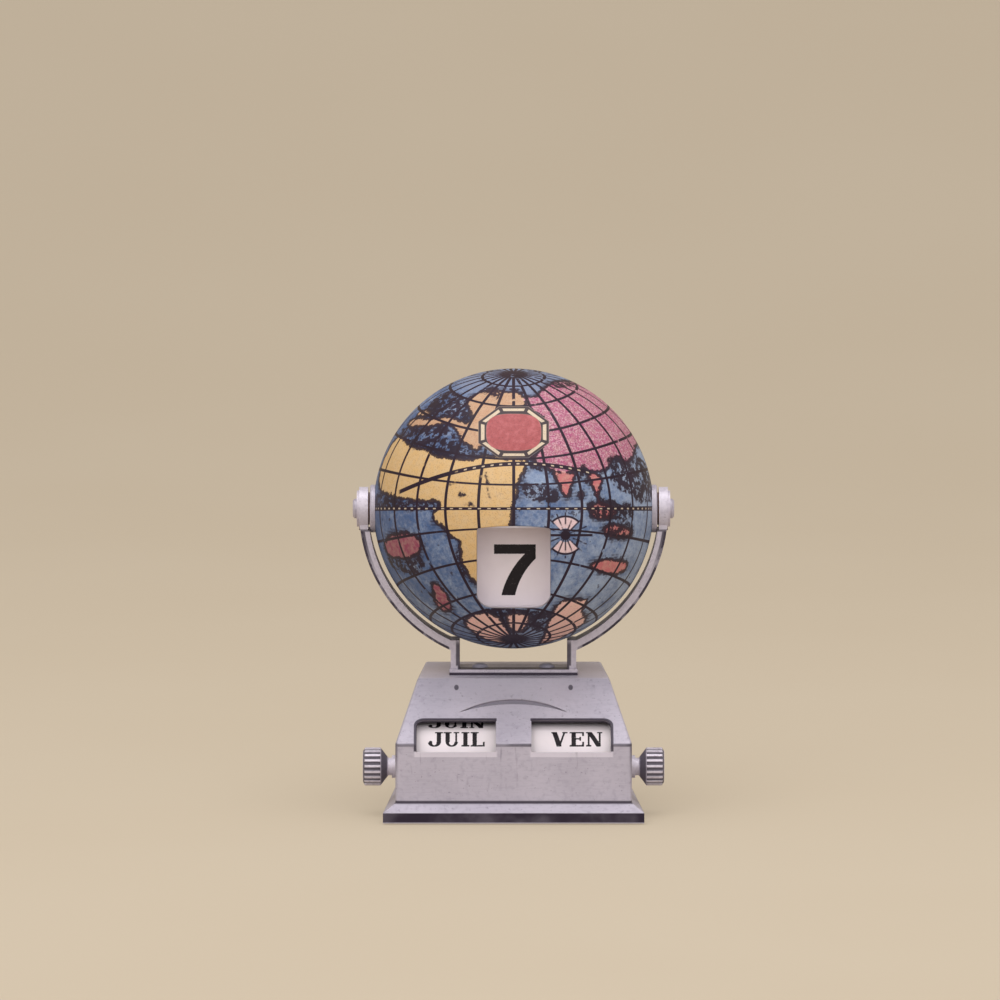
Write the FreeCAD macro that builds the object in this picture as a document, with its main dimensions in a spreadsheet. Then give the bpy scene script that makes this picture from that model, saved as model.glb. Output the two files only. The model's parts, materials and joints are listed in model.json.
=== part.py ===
"""Perpetual desk calendar: a pivoting globe that shows the day number, on a base with month and weekday rollers.

Millimetres. +Z is up, the dates face -Y, and the origin is on the table under the middle of the globe.
The globe hides a magazine of number cards: each full turn drops the front card from the lower chamber to the
upper one, and lets the rear card of the upper chamber fall back to the lower one.
"""

import FreeCAD, Part
import os
import re

import Sketcher
from FreeCAD import Placement, Rotation, Vector

doc = FreeCAD.newDocument("perpetual_desk_calendar")
sheet = doc.addObject("Spreadsheet::Sheet", "Sizes")

# Driving sizes, one spreadsheet cell each
SIZES = {
    # globe and its pivots
    "globe_radius": (31.0, "outside of the tinplate globe"),
    "globe_wall": (0.5, "tinplate thickness"),
    "globe_lift": (5.7, "globe's underside above the deck"),
    "ring_inset": (0.2, "joining ring inside the globe wall"),
    "ring_wall": (1.6, "joining ring thickness"),
    "ring_width": (6.0, "joining ring, front to back"),
    "hub_radius": (5.3, "hub flange"),
    "hub_flange": (0.75, "hub flange beyond the globe's side"),
    "hub_chamfer": (0.3, "bevel on the hub flange"),
    "hub_barrel": (2.6, "hub barrel radius"),
    "hub_end": (0.2, "hub barrel beyond its nut"),
    "nut_radius": (4.2, "nut on the hub barrel, across corners, half"),
    "nut_width": (1.4, "nut thickness"),
    "pin_radius": (1.25, "pivot pin"),
    "pin_inset": (1.2, "pin's inner end beyond the hub's inner end"),
    "pin_head_radius": (2.2, "pivot pin head"),
    "pin_head": (0.9, "pivot pin head thickness"),
    "pin_head_bevel": (0.4, "bevel on the pin head"),
    "running_gap": (0.04, "radial clearance of what turns"),
    "seat_gap": (0.05, "clearance of what is seated"),
    # yoke
    "yoke_gap": (0.4, "hub flange to yoke"),
    "washer_wall": (0.3, "fibre washer on each pivot pin"),
    "washer_radius": (3.6, "fibre washer"),
    "strap_wall": (2.0, "yoke strap thickness"),
    "strap_width": (7.0, "yoke strap, front to back"),
    "ear_radius": (4.8, "round ear at the strap's end"),
    "ear_boss": (0.5, "raised boss on the outside of the ear"),
    "ear_boss_radius": (4.0, "boss radius"),
    "leg_reach": (13.9, "outside of the yoke's upright legs"),
    "foot_reach": (14.2, "half width of the yoke's foot"),
    "foot_wall": (1.4, "yoke foot thickness"),
    "foot_width": (8.4, "yoke foot, front to back"),
    "yoke_rivet_reach": (7.4, "yoke rivets from the middle"),
    "yoke_rivet_radius": (1.1, "yoke rivet shank"),
    "yoke_rivet_head_radius": (1.9, "yoke rivet head"),
    "yoke_rivet_head": (0.8, "yoke rivet head height"),
    "rivet_tail": (0.7, "clinched tail inside the housing"),
    # housing of the base
    "skirt_out": (2.5, "skirt beyond the body, at the sides"),
    "skirt_ahead": (2.9, "skirt in front of the body"),
    "skirt_behind": (1.6, "skirt behind the body"),
    "skirt_lift": (0.35, "skirt's lower edge above the table"),
    "skirt_top": (2.6, "top of the skirt's upright edge"),
    "flare_top": (4.4, "top of the skirt's slope"),
    "plan_angle": (3.4, "degrees, how much each side closes in towards the rear"),
    "body_reach": (26.0, "half width of the lower body, at the front face"),
    "body_front": (24.1, "front face in front of the pivot line"),
    "body_rear": (19.9, "rear face behind the pivot line"),
    "crease_height": (17.5, "crease between front face and slope"),
    "deck_height": (30.0, "top deck"),
    "deck_in": (3.9, "top deck inside the body, at the sides"),
    "deck_back": (15.6, "deck's front edge behind the front face"),
    "deck_ahead": (0.9, "deck's rear edge in front of the rear face"),
    "housing_wall": (1.2, "housing wall"),
    "housing_round": (0.7, "rounded outer edges"),
    "window_inner": (3.9, "window's inner side from the middle"),
    "window_end": (0.4, "window's outer side inside the drum's end"),
    "window_length": (8.6, "window, along its chord"),
    "window_drop": (1.8, "window's lower edge below the crease"),
    "window_tilt": (48.8, "degrees, the window's chord above the table"),
    "window_corner": (1.8, "rounded corner of a window"),
    "overrun": (4.0, "how far every cutting tool passes the wall"),
    "crescent_radius": (19.8, "outer arc of the pressed crescent"),
    "crescent_inner_radius": (30.0, "inner arc of the pressed crescent"),
    "crescent_width": (1.55, "crescent at its middle"),
    "crescent_depth": (0.4, "depth of the pressed crescent"),
    "crescent_down": (5.0, "crescent's top in front of the deck's edge"),
    "slope_tilt": (38.7, "degrees, the slope above the table"),
    "post_radius": (2.1, "screw posts inside the housing"),
    "post_inset": (3.4, "front screw behind the front face"),
    "post_ahead": (5.9, "rear screws in front of the rear face"),
    "post_reach": (14.5, "rear screws from the middle"),
    "screw_radius": (1.0, "bottom screw shank"),
    "screw_head_radius": (1.8, "bottom screw head"),
    "screw_length": (7.0, "bottom screws, over all"),
    # bottom plate and pads
    "pad_radius": (3.0, "foot pad"),
    "pad_height": (0.7, "foot pad thickness"),
    "pad_inset": (4.5, "pad centre inside the plate's edge"),
    "plate_wall": (1.0, "bottom plate thickness"),
    "plate_gap": (0.15, "bottom plate inside the skirt"),
    "plate_clear": (0.4, "bottom plate's openings round the rollers"),
    # rollers
    "drum_floor": (0.5, "roller above the table, in the bottom plate's opening"),
    "drum_face": (0.4, "roller behind the front wall"),
    "axle_radius": (1.5, "roller shaft"),
    "drum_radius": (10.15, "roller drum"),
    "drum_wall": (1.3, "roller drum rim"),
    "drum_hub": (3.2, "roller drum hub"),
    "drum_web": (1.3, "roller drum web"),
    "drum_inner": (3.0, "drum's inner end from the middle"),
    "wheel_gap": (0.4, "index wheel to bush"),
    "label_wall": (0.15, "printed band round the drum"),
    "label_margin": (0.4, "band's edge inside the drum's end"),
    "wheel_radius": (5.6, "index wheel"),
    "wheel_width": (1.0, "index wheel thickness"),
    "notch_radius": (0.8, "notch in an index wheel"),
    "bush_radius": (2.6, "bush in the side wall"),
    "bush_flange_radius": (3.5, "bush flange"),
    "bush_flange": (0.7, "bush flange thickness"),
    "bush_proud": (0.2, "bush beyond the side wall"),
    "bracket_wall": (2.4, "centre bracket thickness"),
    "bracket_top": (17.0, "top of the centre bracket"),
    "bracket_front": (17.2, "bracket in front of the pivot line"),
    "bracket_neck": (3.6, "bracket's upright ends in front of the pivot line"),
    "bracket_rear": (5.0, "bracket foot behind the pivot line"),
    "bracket_foot_reach": (6.5, "bracket foot from the middle"),
    "bracket_foot": (1.2, "bracket foot thickness"),
    "bracket_rivet_reach": (4.2, "bracket rivets from the middle"),
    "bracket_rivet_rear": (1.0, "bracket rivets behind the pivot line"),
    "shaft_gap": (0.2, "shaft's inner end from the middle"),
    "small_rivet": (0.7, "small rivet shank"),
    "small_rivet_head": (1.1, "small rivet head radius"),
    "small_rivet_height": (0.35, "small rivet head height"),
    "spring_wall": (0.3, "detent spring thickness"),
    "spring_width": (1.0, "detent spring width"),
    "spring_top": (15.5, "top of the detent spring"),
    "spring_foot": (5.5, "detent spring foot length"),
    "spring_foot_width": (2.4, "detent spring foot width"),
    "spring_gap": (0.12, "spring clear of the index wheel"),
    # knobs
    "collar_radius": (2.5, "knob collar"),
    "collar_length": (0.9, "knob collar"),
    "knob_gap": (0.25, "collar to bush"),
    "neck_radius": (1.95, "knob neck"),
    "neck_length": (0.8, "knob neck"),
    "cone_length": (1.7, "knob cone"),
    "knob_radius": (4.2, "knob rim"),
    "knob_length": (3.9, "knob rim"),
    "knob_crown": (0.5, "rounded end of a knob"),
    "crown_radius": (3.4, "flat end of a knob"),
    "flute_radius": (0.42, "flute in a knob's rim"),
    "knob_bore_end": (1.4, "solid metal beyond the shaft"),
    # number cards and their magazine
    "card_width": (17.4, "number card"),
    "card_headroom": (0.25, "upper card below the ceiling"),
    "card_wall": (0.4, "number card thickness"),
    "card_pitch": (0.5, "one layer of the stack"),
    "card_face": (19.0, "face of the front card in front of the pivots"),
    "card_side_gap": (0.25, "card to side wall"),
    "case_clear": (0.38, "case corners inside the shell"),
    "card_rest": (0.05, "card above what it rests on"),
    "floor_rise": (0.75, "slope of floor, divider and ceiling, front to back"),
    "case_wall": (0.8, "magazine walls"),
    "case_front_wall": (0.7, "magazine front wall"),
    "case_face_gap": (0.1, "front card behind the front wall"),
    "divider_wall": (0.7, "magazine divider"),
    "divider_low": (0.03, "divider's lower front edge below the pivots"),
    "cover_wall": (0.8, "magazine rear cover"),
    "view_side": (0.6, "date window's side inside the card's edge"),
    "view_top": (0.6, "date window's upper edge below the pivots"),
    "view_sill": (0.5, "date window's lower edge above the magazine floor"),
    "view_round": (2.2, "rounded lower corners of the date window"),
    "tunnel_wall": (0.6, "window frame wall"),
    "lug_reach": (14.0, "magazine lugs from the middle"),
    "lug_half": (3.0, "half height of a lug"),
    "lug_depth": (4.4, "lug, front to back"),
    "lug_screw_reach": (12.0, "magazine screws from the middle"),
    "lug_screw": (0.7, "magazine screw shank"),
    "lug_screw_head": (1.5, "magazine screw head radius"),
    "lug_screw_cap": (0.8, "magazine screw head height"),
    "lug_screw_length": (3.8, "magazine screw shank length"),
    "carrier_wall": (1.0, "carrier strip thickness"),
    "carrier_half": (4.4, "half height of the carrier strip"),
    "carrier_gap": (0.4, "carrier's ears inside the joining ring"),
    "carrier_rear": (4.0, "carrier's ears behind the pivots"),
    "carrier_clear": (0.6, "carrier corners clear of the shells"),
}
# Sizes that follow from others
DERIVED = {
    "globe_height": "deck_height + globe_lift + globe_radius",
    "carrier_reach": "globe_radius - globe_wall - ring_inset - ring_wall - carrier_gap",
    "hub_reach": "carrier_reach - carrier_wall - nut_width - hub_end",
    "skirt_reach": "body_reach + skirt_out",
    "skirt_front": "body_front + skirt_ahead",
    "skirt_rear": "body_rear + skirt_behind",
    "deck_reach": "body_reach - deck_in",
    "deck_front": "body_front - deck_back",
    "deck_rear": "body_rear - deck_ahead",
    "post_front": "body_front - post_inset",
    "post_rear": "body_rear - post_ahead",
    "crescent_front": "deck_front + crescent_down",
    "roller_radius": "drum_radius + label_wall",
    "axle_height": "drum_floor + roller_radius",
    "axle_front": "body_front - housing_wall - drum_face - roller_radius",
    "plate_drop": "axle_height - pad_height - plate_wall",
    "plate_chord": "sqrt(roller_radius * roller_radius - plate_drop * plate_drop) + plate_clear",
    "wall_depth": "body_front - axle_front + bush_flange_radius",
    "wall_inside": "body_reach - housing_wall / cos(plan_angle) - tan(plan_angle) * wall_depth",
    "drum_outer": "wall_inside - bush_flange - wheel_gap - wheel_width",
    "window_outer": "drum_outer - window_end",
    "window_sill": "crease_height - window_drop",
    "case_half": "card_width / 2 + card_side_gap + case_wall",
    "case_face": "card_face + case_face_gap + case_front_wall",
    "case_room": "globe_radius - globe_wall - case_clear",
    "card_floor": "sqrt(case_room * case_room - case_face * case_face - case_half * case_half) - case_wall",
    "card_height": "card_floor - floor_rise - divider_wall - card_headroom",
    "view_reach": "card_width / 2 - view_side",
    "view_bottom": "card_floor - view_sill",
}
for row, (alias, (number, note)) in enumerate(SIZES.items(), start=1):
    sheet.set(f"A{row}", alias)
    sheet.set(f"B{row}", str(number))
    sheet.set(f"C{row}", note)
    sheet.setAlias(f"B{row}", alias)
doc.recompute()

CARD_LAYERS = 17
LAST_LAYER = CARD_LAYERS - 1
UPPER_FIRST = 2
MONTH_NOTCHES = 12
WEEKDAY_NOTCHES = 7
KNOB_FLUTES = 20
SIDES = {"left": -1, "right": 1}


def bind(text):
    """An expression in which every size name points at its cell, and every derived size is written out."""

    def point(found):
        word = found.group()
        if word in DERIVED:
            return f"({bind(DERIVED[word])})"
        return f"Sizes.{word}" if word in SIZES else word

    return re.sub(r"[a-z]\w*", point, str(text))


def value(text):
    """The number that an expression has now."""
    return float(sheet.evalExpression(bind(text)))


def total(*terms):
    """A sum, written as an expression."""
    return " + ".join(f"({term})" for term in terms)


def place(item, x="0", y="0", z="0", rotation=None):
    """Puts an item at a place that follows the sheet."""
    item.Placement = Placement(Vector(value(x), value(y), value(z)), rotation or Rotation())
    for axis, text in zip("xyz", (x, y, z)):
        item.setExpression(f"Placement.Base.{axis}", bind(text))
    return item


def primitive(kind, name, **fields):
    item = doc.addObject(kind, name)
    for field, text in fields.items():
        item.setExpression(field, bind(text))
    return item


ALONG = {"x": Rotation(Vector(0, 1, 0), 90), "y": Rotation(Vector(1, 0, 0), -90), "z": Rotation()}


def block(name, x, y, z, rotation=None):
    """A box from pairs of limits along X, Y and Z."""
    item = primitive(
        "Part::Box", name, Length=f"({x[1]}) - ({x[0]})", Width=f"({y[1]}) - ({y[0]})", Height=f"({z[1]}) - ({z[0]})"
    )
    return place(item, x[0], y[0], z[0], rotation)


def rod(name, axis, radius, start, end, first="0", second="0"):
    """A cylinder along one axis, from start to end, at the two other coordinates in X, Y, Z order."""
    item = primitive("Part::Cylinder", name, Radius=radius, Height=f"({end}) - ({start})")
    spots = {"x": (start, first, second), "y": (first, start, second), "z": (first, second, start)}
    return place(item, *spots[axis], ALONG[axis])


def cut(name, base, *tools):
    """The base without its tools."""
    item = doc.addObject("Part::Cut", name)
    item.Base = base
    item.Tool = tools[0] if len(tools) == 1 else fuse(f"{name}_tools", *tools)
    return item


def fuse(name, *pieces):
    item = doc.addObject("Part::MultiFuse", name)
    item.Shapes = list(pieces)
    return item


def common(name, *pieces):
    item = doc.addObject("Part::MultiCommon", name)
    item.Shapes = list(pieces)
    return item


def group(name, *pieces):
    """Separate solids kept in one node."""
    item = doc.addObject("Part::Compound", name)
    item.Links = list(pieces)
    return item


def sketch_on(body, role, outline):
    """A sketch on one of the body's own planes."""
    sketch = body.newObject("Sketcher::SketchObject", f"{body.Name}_outline")
    plane = next(item for item in body.Origin.OriginFeatures if item.Role == role)
    sketch.AttachmentSupport = (plane, [""])
    sketch.MapMode = "FlatFace"
    hold_outline(sketch, outline)
    return sketch


def hold_outline(sketch, outline):
    """A closed outline of straight edges, every corner held to the sheet."""
    corners = [Vector(value(across), value(along), 0) for across, along in outline]
    for start, end in zip(corners, corners[1:] + corners[:1]):
        sketch.addGeometry(Part.LineSegment(start, end))
    for edge in range(len(corners)):
        sketch.addConstraint(Sketcher.Constraint("Coincident", edge, 2, (edge + 1) % len(corners), 1))
    for edge, texts in enumerate(outline):
        for kind, text, number in zip(("DistanceX", "DistanceY"), texts, corners[edge][:2]):
            held = sketch.addConstraint(Sketcher.Constraint(kind, -1, 1, edge, 1, number))
            sketch.setExpression(f"Constraints[{held}]", bind(text))


def across(side, near, far):
    """Limits from near to far on one side of the middle plane."""
    return (near, far) if side > 0 else (f"-({far})", f"-({near})")


PLANES = {"x": "YZ_Plane", "y": "XZ_Plane", "z": "XY_Plane"}


def plate(name, axis, outline, width, x="0", y="0", z="0"):
    """A padded outline, centred along its axis."""
    body = doc.addObject("PartDesign::Body", name)
    pad = body.newObject("PartDesign::Pad", f"{name}_pad")
    pad.Profile = sketch_on(body, PLANES[axis], outline)
    pad.SideType = "Symmetric"
    pad.setExpression("Length", bind(width))
    body.Tip = pad
    return place(body, x, y, z)


TURNING = {"x": ("XY_Plane", "H_Axis"), "y": ("XY_Plane", "V_Axis"), "z": ("XZ_Plane", "V_Axis")}


def turned(name, axis, outline, x="0", y="0", z="0"):
    """A revolved outline. Its corners are (along, radius) about X, and (radius, along) about Y and Z."""
    plane, line = TURNING[axis]
    body = doc.addObject("PartDesign::Body", name)
    sketch = sketch_on(body, plane, outline)
    turn = body.newObject("PartDesign::Revolution", f"{name}_turn")
    turn.Profile = sketch
    turn.ReferenceAxis = (sketch, [line])
    turn.Angle = 360
    body.Tip = turn
    return place(body, x, y, z)


def rounded(name, base, radius, wanted):
    """Rounds the edges of base that the test accepts."""
    doc.recompute()
    edges = [n for n, edge in enumerate(base.Shape.Edges, start=1) if wanted(edge)]
    item = doc.addObject("Part::Fillet", name)
    item.Base = base
    item.Edges = [(n, value(radius), value(radius)) for n in edges]
    return item


NODES = {}


def keep(name, item):
    """Gives a finished sub-part the name of its node."""
    item.Label = name
    NODES[name] = item
    return item


# Housing of the base


def side_line(reach, y):
    """The distance of a side from the middle plane at one depth: the sides close in towards the rear."""
    return f"({reach}) - tan(plan_angle) * (({y}) + body_front)"


def housing_form(name, inset, low):
    """The outer form of the housing, or its hollow when inset is the wall: a side view between two slanting ends."""
    levels = [
        ("skirt", low),
        ("skirt", "skirt_top"),
        ("body", "flare_top"),
        ("body", "crease_height"),
        ("deck", f"deck_height - {inset}"),
    ]
    front = [(f"-({part}_front - {inset})", height) for part, height in levels]
    rear = [(f"{part}_rear - {inset}", height) for part, height in reversed(levels)]
    pieces = [plate(f"{name}_side_view", "x", front + rear, "(skirt_reach + overrun) * 2")]
    for word, side in SIDES.items():
        rim = [
            (f"{side} * ({part}_reach * cos(plan_angle) - body_front * sin(plan_angle) - {inset})", height)
            for part, height in levels
        ]
        far = f"-({side}) * skirt_reach * 2"
        end_view = plate(
            f"{name}_{word}_view", "y", rim + [(far, levels[-1][1]), (far, low)], "(skirt_front + skirt_rear) * 2"
        )
        end_view.Placement = Placement(Vector(), Rotation(Vector(0, 0, 1), side * value("plan_angle")))
        pieces.append(end_view)
    return common(name, *pieces)


def above_flare(edge):
    return edge.BoundBox.ZMax > value("flare_top") + value("housing_wall")


def window_tool(word, side):
    """A box that cuts one window across the crease, with its upper outer corner rounded."""
    limits = across(side, "window_inner", "window_outer")
    tool = block(
        f"window_block_{word}",
        limits,
        ("-body_front + sin(window_tilt) * overrun", "-body_front + sin(window_tilt) * overrun + window_length"),
        ("window_sill - cos(window_tilt) * overrun", "window_sill - cos(window_tilt) * overrun + 2 * overrun"),
        Rotation(Vector(1, 0, 0), value("window_tilt")),
    )
    edge_x = side * value("window_outer")

    def outer_corner(edge):
        box = edge.BoundBox
        upright = abs(edge.Length - 2 * value("overrun")) < value("seat_gap")
        return upright and abs(box.Center.x - edge_x) < value("seat_gap") and box.Center.y > value("-body_front")

    return rounded(f"window_tool_{word}", tool, "window_corner", outer_corner)


def crescent_tool():
    """A shallow moon between two arcs, square to the slope."""
    tilt = Rotation(Vector(1, 0, 0), value("slope_tilt"))
    span = "crescent_depth + overrun"
    height = "crease_height + (body_front - crescent_front) * (deck_height - crease_height) / (body_front - deck_front)"
    outer = primitive("Part::Cylinder", "crescent_outer", Radius="crescent_radius", Height=span)
    inner = primitive("Part::Cylinder", "crescent_inner", Radius="crescent_inner_radius", Height=f"{span} + overrun")
    for item, radius, down in (
        (outer, "crescent_radius", "0"),
        (inner, "crescent_inner_radius", "crescent_width"),
    ):
        lift = "-crescent_depth" if item is outer else "-crescent_depth - overrun / 2"
        back = f"({radius} + {down})"
        place(
            item,
            "0",
            f"-crescent_front - cos(slope_tilt) * {back} - sin(slope_tilt) * ({lift})",
            f"{height} - sin(slope_tilt) * {back} + cos(slope_tilt) * ({lift})",
            tilt,
        )
    return cut("crescent_tool", outer, inner)


POSTS = {
    "front": ("0", "-post_front"),
    "rear_left": ("-post_reach", "post_rear"),
    "rear_right": ("post_reach", "post_rear"),
}
PLATE_INSET = "(housing_wall + plate_gap)"
PLATE_FRONT = f"-(skirt_front - {PLATE_INSET})"
PLATE_REAR = f"skirt_rear - {PLATE_INSET}"
PLATE_REACH = f"skirt_reach - {PLATE_INSET} / cos(plan_angle)"
PLATE_LOW = "pad_height"
PLATE_TOP = "pad_height + plate_wall"


def base_housing():
    outer = rounded("housing_outer", housing_form("housing_solid", "0", "skirt_lift"), "housing_round", above_flare)
    hollow = housing_form("housing_hollow", "housing_wall", "skirt_lift - overrun")
    shell = cut("housing_shell", outer, hollow)
    posts = [
        rod(f"post_{spot}", "z", "post_radius", PLATE_TOP, "deck_height", x, y) for spot, (x, y) in POSTS.items()
    ]
    inside = common("housing_posts", fuse("posts_raw", *posts), outer)
    body = fuse("housing_body", shell, inside)
    holes = [
        rod(f"post_hole_{spot}", "z", "screw_radius", "-overrun", "pad_height + screw_length", x, y)
        for spot, (x, y) in POSTS.items()
    ]
    for word, side in SIDES.items():
        start, end = sorted((f"{side} * (body_reach - overrun)", f"{side} * (body_reach + overrun)"), key=value)
        holes.append(rod(f"bush_hole_{word}", "x", "bush_radius", start, end, "-axle_front", "axle_height"))
        rivet_x = f"{side} * yoke_rivet_reach"
        holes.append(
            rod(
                f"rivet_hole_{word}",
                "z",
                "yoke_rivet_radius",
                "deck_height - overrun",
                "deck_height + overrun",
                rivet_x,
                "0",
            )
        )
        holes.append(window_tool(word, side))
    return cut("housing", body, *holes, crescent_tool())


keep("base_housing", base_housing())


# Bottom plate, its screws and pads


def bottom_plate():
    middle = f"({PLATE_LOW} + {PLATE_TOP}) / 2"
    outline = [
        (f"{side} * ({side_line(PLATE_REACH, y)})", y)
        for side, y in ((-1, PLATE_FRONT), (1, PLATE_FRONT), (1, PLATE_REAR), (-1, PLATE_REAR))
    ]
    sheet_metal = plate("plate_blank", "z", outline, "plate_wall", z=middle)
    holes = []
    for spot, (x, y) in POSTS.items():
        sink = [
            ("0", "-overrun"),
            ("screw_head_radius", "-overrun"),
            ("screw_head_radius", "0"),
            ("screw_radius", "plate_wall"),
            ("screw_radius", "overrun"),
            ("0", "overrun"),
        ]
        holes.append(turned(f"sink_{spot}", "z", sink, x, y, PLATE_LOW))
    for word, (x, y) in SMALL_RIVETS.items():
        holes.append(rod(f"plate_hole_{word}", "z", "small_rivet", "-overrun", "overrun", x, y))
    for word, side in SIDES.items():
        holes.append(
            block(
                f"plate_opening_{word}",
                across(side, "drum_inner - plate_clear", "drum_outer + plate_clear"),
                ("-axle_front - plate_chord", "-axle_front + plate_chord"),
                ("-overrun", "overrun"),
            )
        )
    return cut("plate", sheet_metal, *holes)


def bottom_screws():
    outline = [
        ("0", "0"),
        ("screw_head_radius", "0"),
        ("screw_radius", "plate_wall"),
        ("screw_radius", "screw_length"),
        ("0", "screw_length"),
    ]
    return group(
        "screws", *[turned(f"screw_{spot}", "z", outline, x, y, PLATE_LOW) for spot, (x, y) in POSTS.items()]
    )


def foot_pads():
    rows = (f"{PLATE_FRONT} + pad_inset", f"{PLATE_REAR} - pad_inset")
    spots = [(f"{side} * ({side_line(PLATE_REACH, y)} - pad_inset)", y) for side in SIDES.values() for y in rows]
    return group("pads", *[rod(f"pad_{n}", "z", "pad_radius", "0", PLATE_LOW, *spot) for n, spot in enumerate(spots)])


SPRING_FACE = "-axle_front + wheel_radius + spring_gap"
SMALL_RIVETS = {
    "bracket_left": ("-bracket_rivet_reach", "bracket_rivet_rear"),
    "bracket_right": ("bracket_rivet_reach", "bracket_rivet_rear"),
    "spring_left": ("-(drum_outer + wheel_width / 2)", f"{SPRING_FACE} + spring_foot * 2 / 3"),
    "spring_right": ("drum_outer + wheel_width / 2", f"{SPRING_FACE} + spring_foot * 2 / 3"),
}


def small_rivet(name, spot, above):
    """A rivet through the bottom plate and what stands on it, flush below and with a low head above."""
    top = total("plate_wall", above)
    outline = [
        ("0", "0"),
        ("small_rivet", "0"),
        ("small_rivet", top),
        ("small_rivet_head", top),
        ("small_rivet_head", total(top, "small_rivet_height / 2")),
        ("small_rivet", total(top, "small_rivet_height")),
        ("0", total(top, "small_rivet_height")),
    ]
    x, y = SMALL_RIVETS[spot]
    return turned(name, "z", outline, x, y, PLATE_LOW)


keep("bottom_plate", bottom_plate())
keep("bottom_screws", bottom_screws())
keep("foot_pads", foot_pads())
keep(
    "bracket_rivets",
    group(
        "bracket_rivet_pair",
        *[small_rivet(f"bracket_rivet_{word}", f"bracket_{word}", "bracket_foot") for word in SIDES],
    ),
)


# Centre bracket that carries both shafts


def center_bracket():
    upright = plate(
        "bracket_upright",
        "x",
        [
            ("-bracket_front", f"{PLATE_TOP} + bracket_foot"),
            ("-bracket_rear", PLATE_TOP),
            ("bracket_rear", PLATE_TOP),
            ("bracket_rear", f"{PLATE_TOP} + bracket_foot"),
            ("-bracket_neck", f"{PLATE_TOP} + bracket_foot"),
            ("-axle_front + axle_radius * 2", "bracket_top"),
            ("-axle_front - axle_radius * 2", "bracket_top"),
        ],
        "bracket_wall",
    )
    foot = block(
        "bracket_foot_plate",
        ("-bracket_foot_reach", "bracket_foot_reach"),
        ("-bracket_rear * 2 / 5", "bracket_rear"),
        (PLATE_TOP, f"{PLATE_TOP} + bracket_foot"),
    )
    holes = [
        rod(f"bracket_hole_{word}", "z", "small_rivet", "-overrun", "overrun * 2", *SMALL_RIVETS[f"bracket_{word}"])
        for word in SIDES
    ]
    bore = rod(
        "bracket_bore",
        "x",
        "axle_radius + running_gap",
        "-bracket_wall",
        "bracket_wall",
        "-axle_front",
        "axle_height",
    )
    return cut("bracket", fuse("bracket_blank", upright, foot), bore, *holes)


keep("center_bracket", center_bracket())


# Month and weekday rollers: each has a shaft, a drum, a printed band, an index wheel, a bush, a spring and a knob


def along(side, outline):
    """Mirrors an outline of (along, radius) corners to the left side."""
    return [(f"{side} * ({reach})", radius) for reach, radius in outline]


WALL_FACE = side_line("body_reach", "-axle_front - bush_flange_radius")
KNOB_START = f"{WALL_FACE} + bush_proud + knob_gap"
KNOB_RIM = f"{KNOB_START} + collar_length + neck_length + cone_length"
KNOB_END = f"{KNOB_RIM} + knob_length"
SHAFT_END = f"{KNOB_END} - knob_bore_end"


def on_axle(name, side, outline):
    return turned(name, "x", along(side, outline), "0", "-axle_front", "axle_height")


def drum(prefix, side):
    middle = "(drum_inner + drum_outer) / 2"
    rim = "drum_radius - drum_wall"
    return on_axle(
        f"{prefix}_drum_body",
        side,
        [
            ("drum_inner", "drum_radius"),
            ("drum_outer", "drum_radius"),
            ("drum_outer", rim),
            (f"{middle} + drum_web / 2", rim),
            (f"{middle} + drum_web / 2", "drum_hub"),
            ("drum_outer", "drum_hub"),
            ("drum_outer", "axle_radius"),
            ("drum_inner", "axle_radius"),
            ("drum_inner", "drum_hub"),
            (f"{middle} - drum_web / 2", "drum_hub"),
            (f"{middle} - drum_web / 2", rim),
            ("drum_inner", rim),
        ],
    )


def sleeve(name, side, start, end, inner, outer):
    return on_axle(name, side, [(start, inner), (end, inner), (end, outer), (start, outer)])


def ring_of_tools(name, side, count, tool_radius, at_radius, start, end):
    """Equal rods round the axle, used to cut notches and flutes."""
    first, last = (start, end) if side > 0 else (f"-({end})", f"-({start})")
    return [
        rod(
            f"{name}_{n}",
            "x",
            tool_radius,
            first,
            last,
            f"-axle_front + ({at_radius}) * cos(360 * {n} / {count})",
            f"axle_height + ({at_radius}) * sin(360 * {n} / {count})",
        )
        for n in range(count)
    ]


def index_wheel(prefix, side, notches):
    disc = sleeve(
        f"{prefix}_wheel_blank", side, "drum_outer", "drum_outer + wheel_width", "axle_radius", "wheel_radius"
    )
    tools = ring_of_tools(
        f"{prefix}_notch",
        side,
        notches,
        "notch_radius",
        "wheel_radius + notch_radius / 4",
        "drum_outer - overrun",
        "drum_outer + wheel_width + overrun",
    )
    return cut(f"{prefix}_wheel", disc, *tools)


def bushing(prefix, side):
    return on_axle(
        f"{prefix}_bush",
        side,
        [
            ("wall_inside - bush_flange", "axle_radius + running_gap"),
            (f"{WALL_FACE} + bush_proud", "axle_radius + running_gap"),
            (f"{WALL_FACE} + bush_proud", "bush_radius"),
            ("wall_inside", "bush_radius"),
            ("wall_inside", "bush_flange_radius"),
            ("wall_inside - bush_flange", "bush_flange_radius"),
        ],
    )


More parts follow.
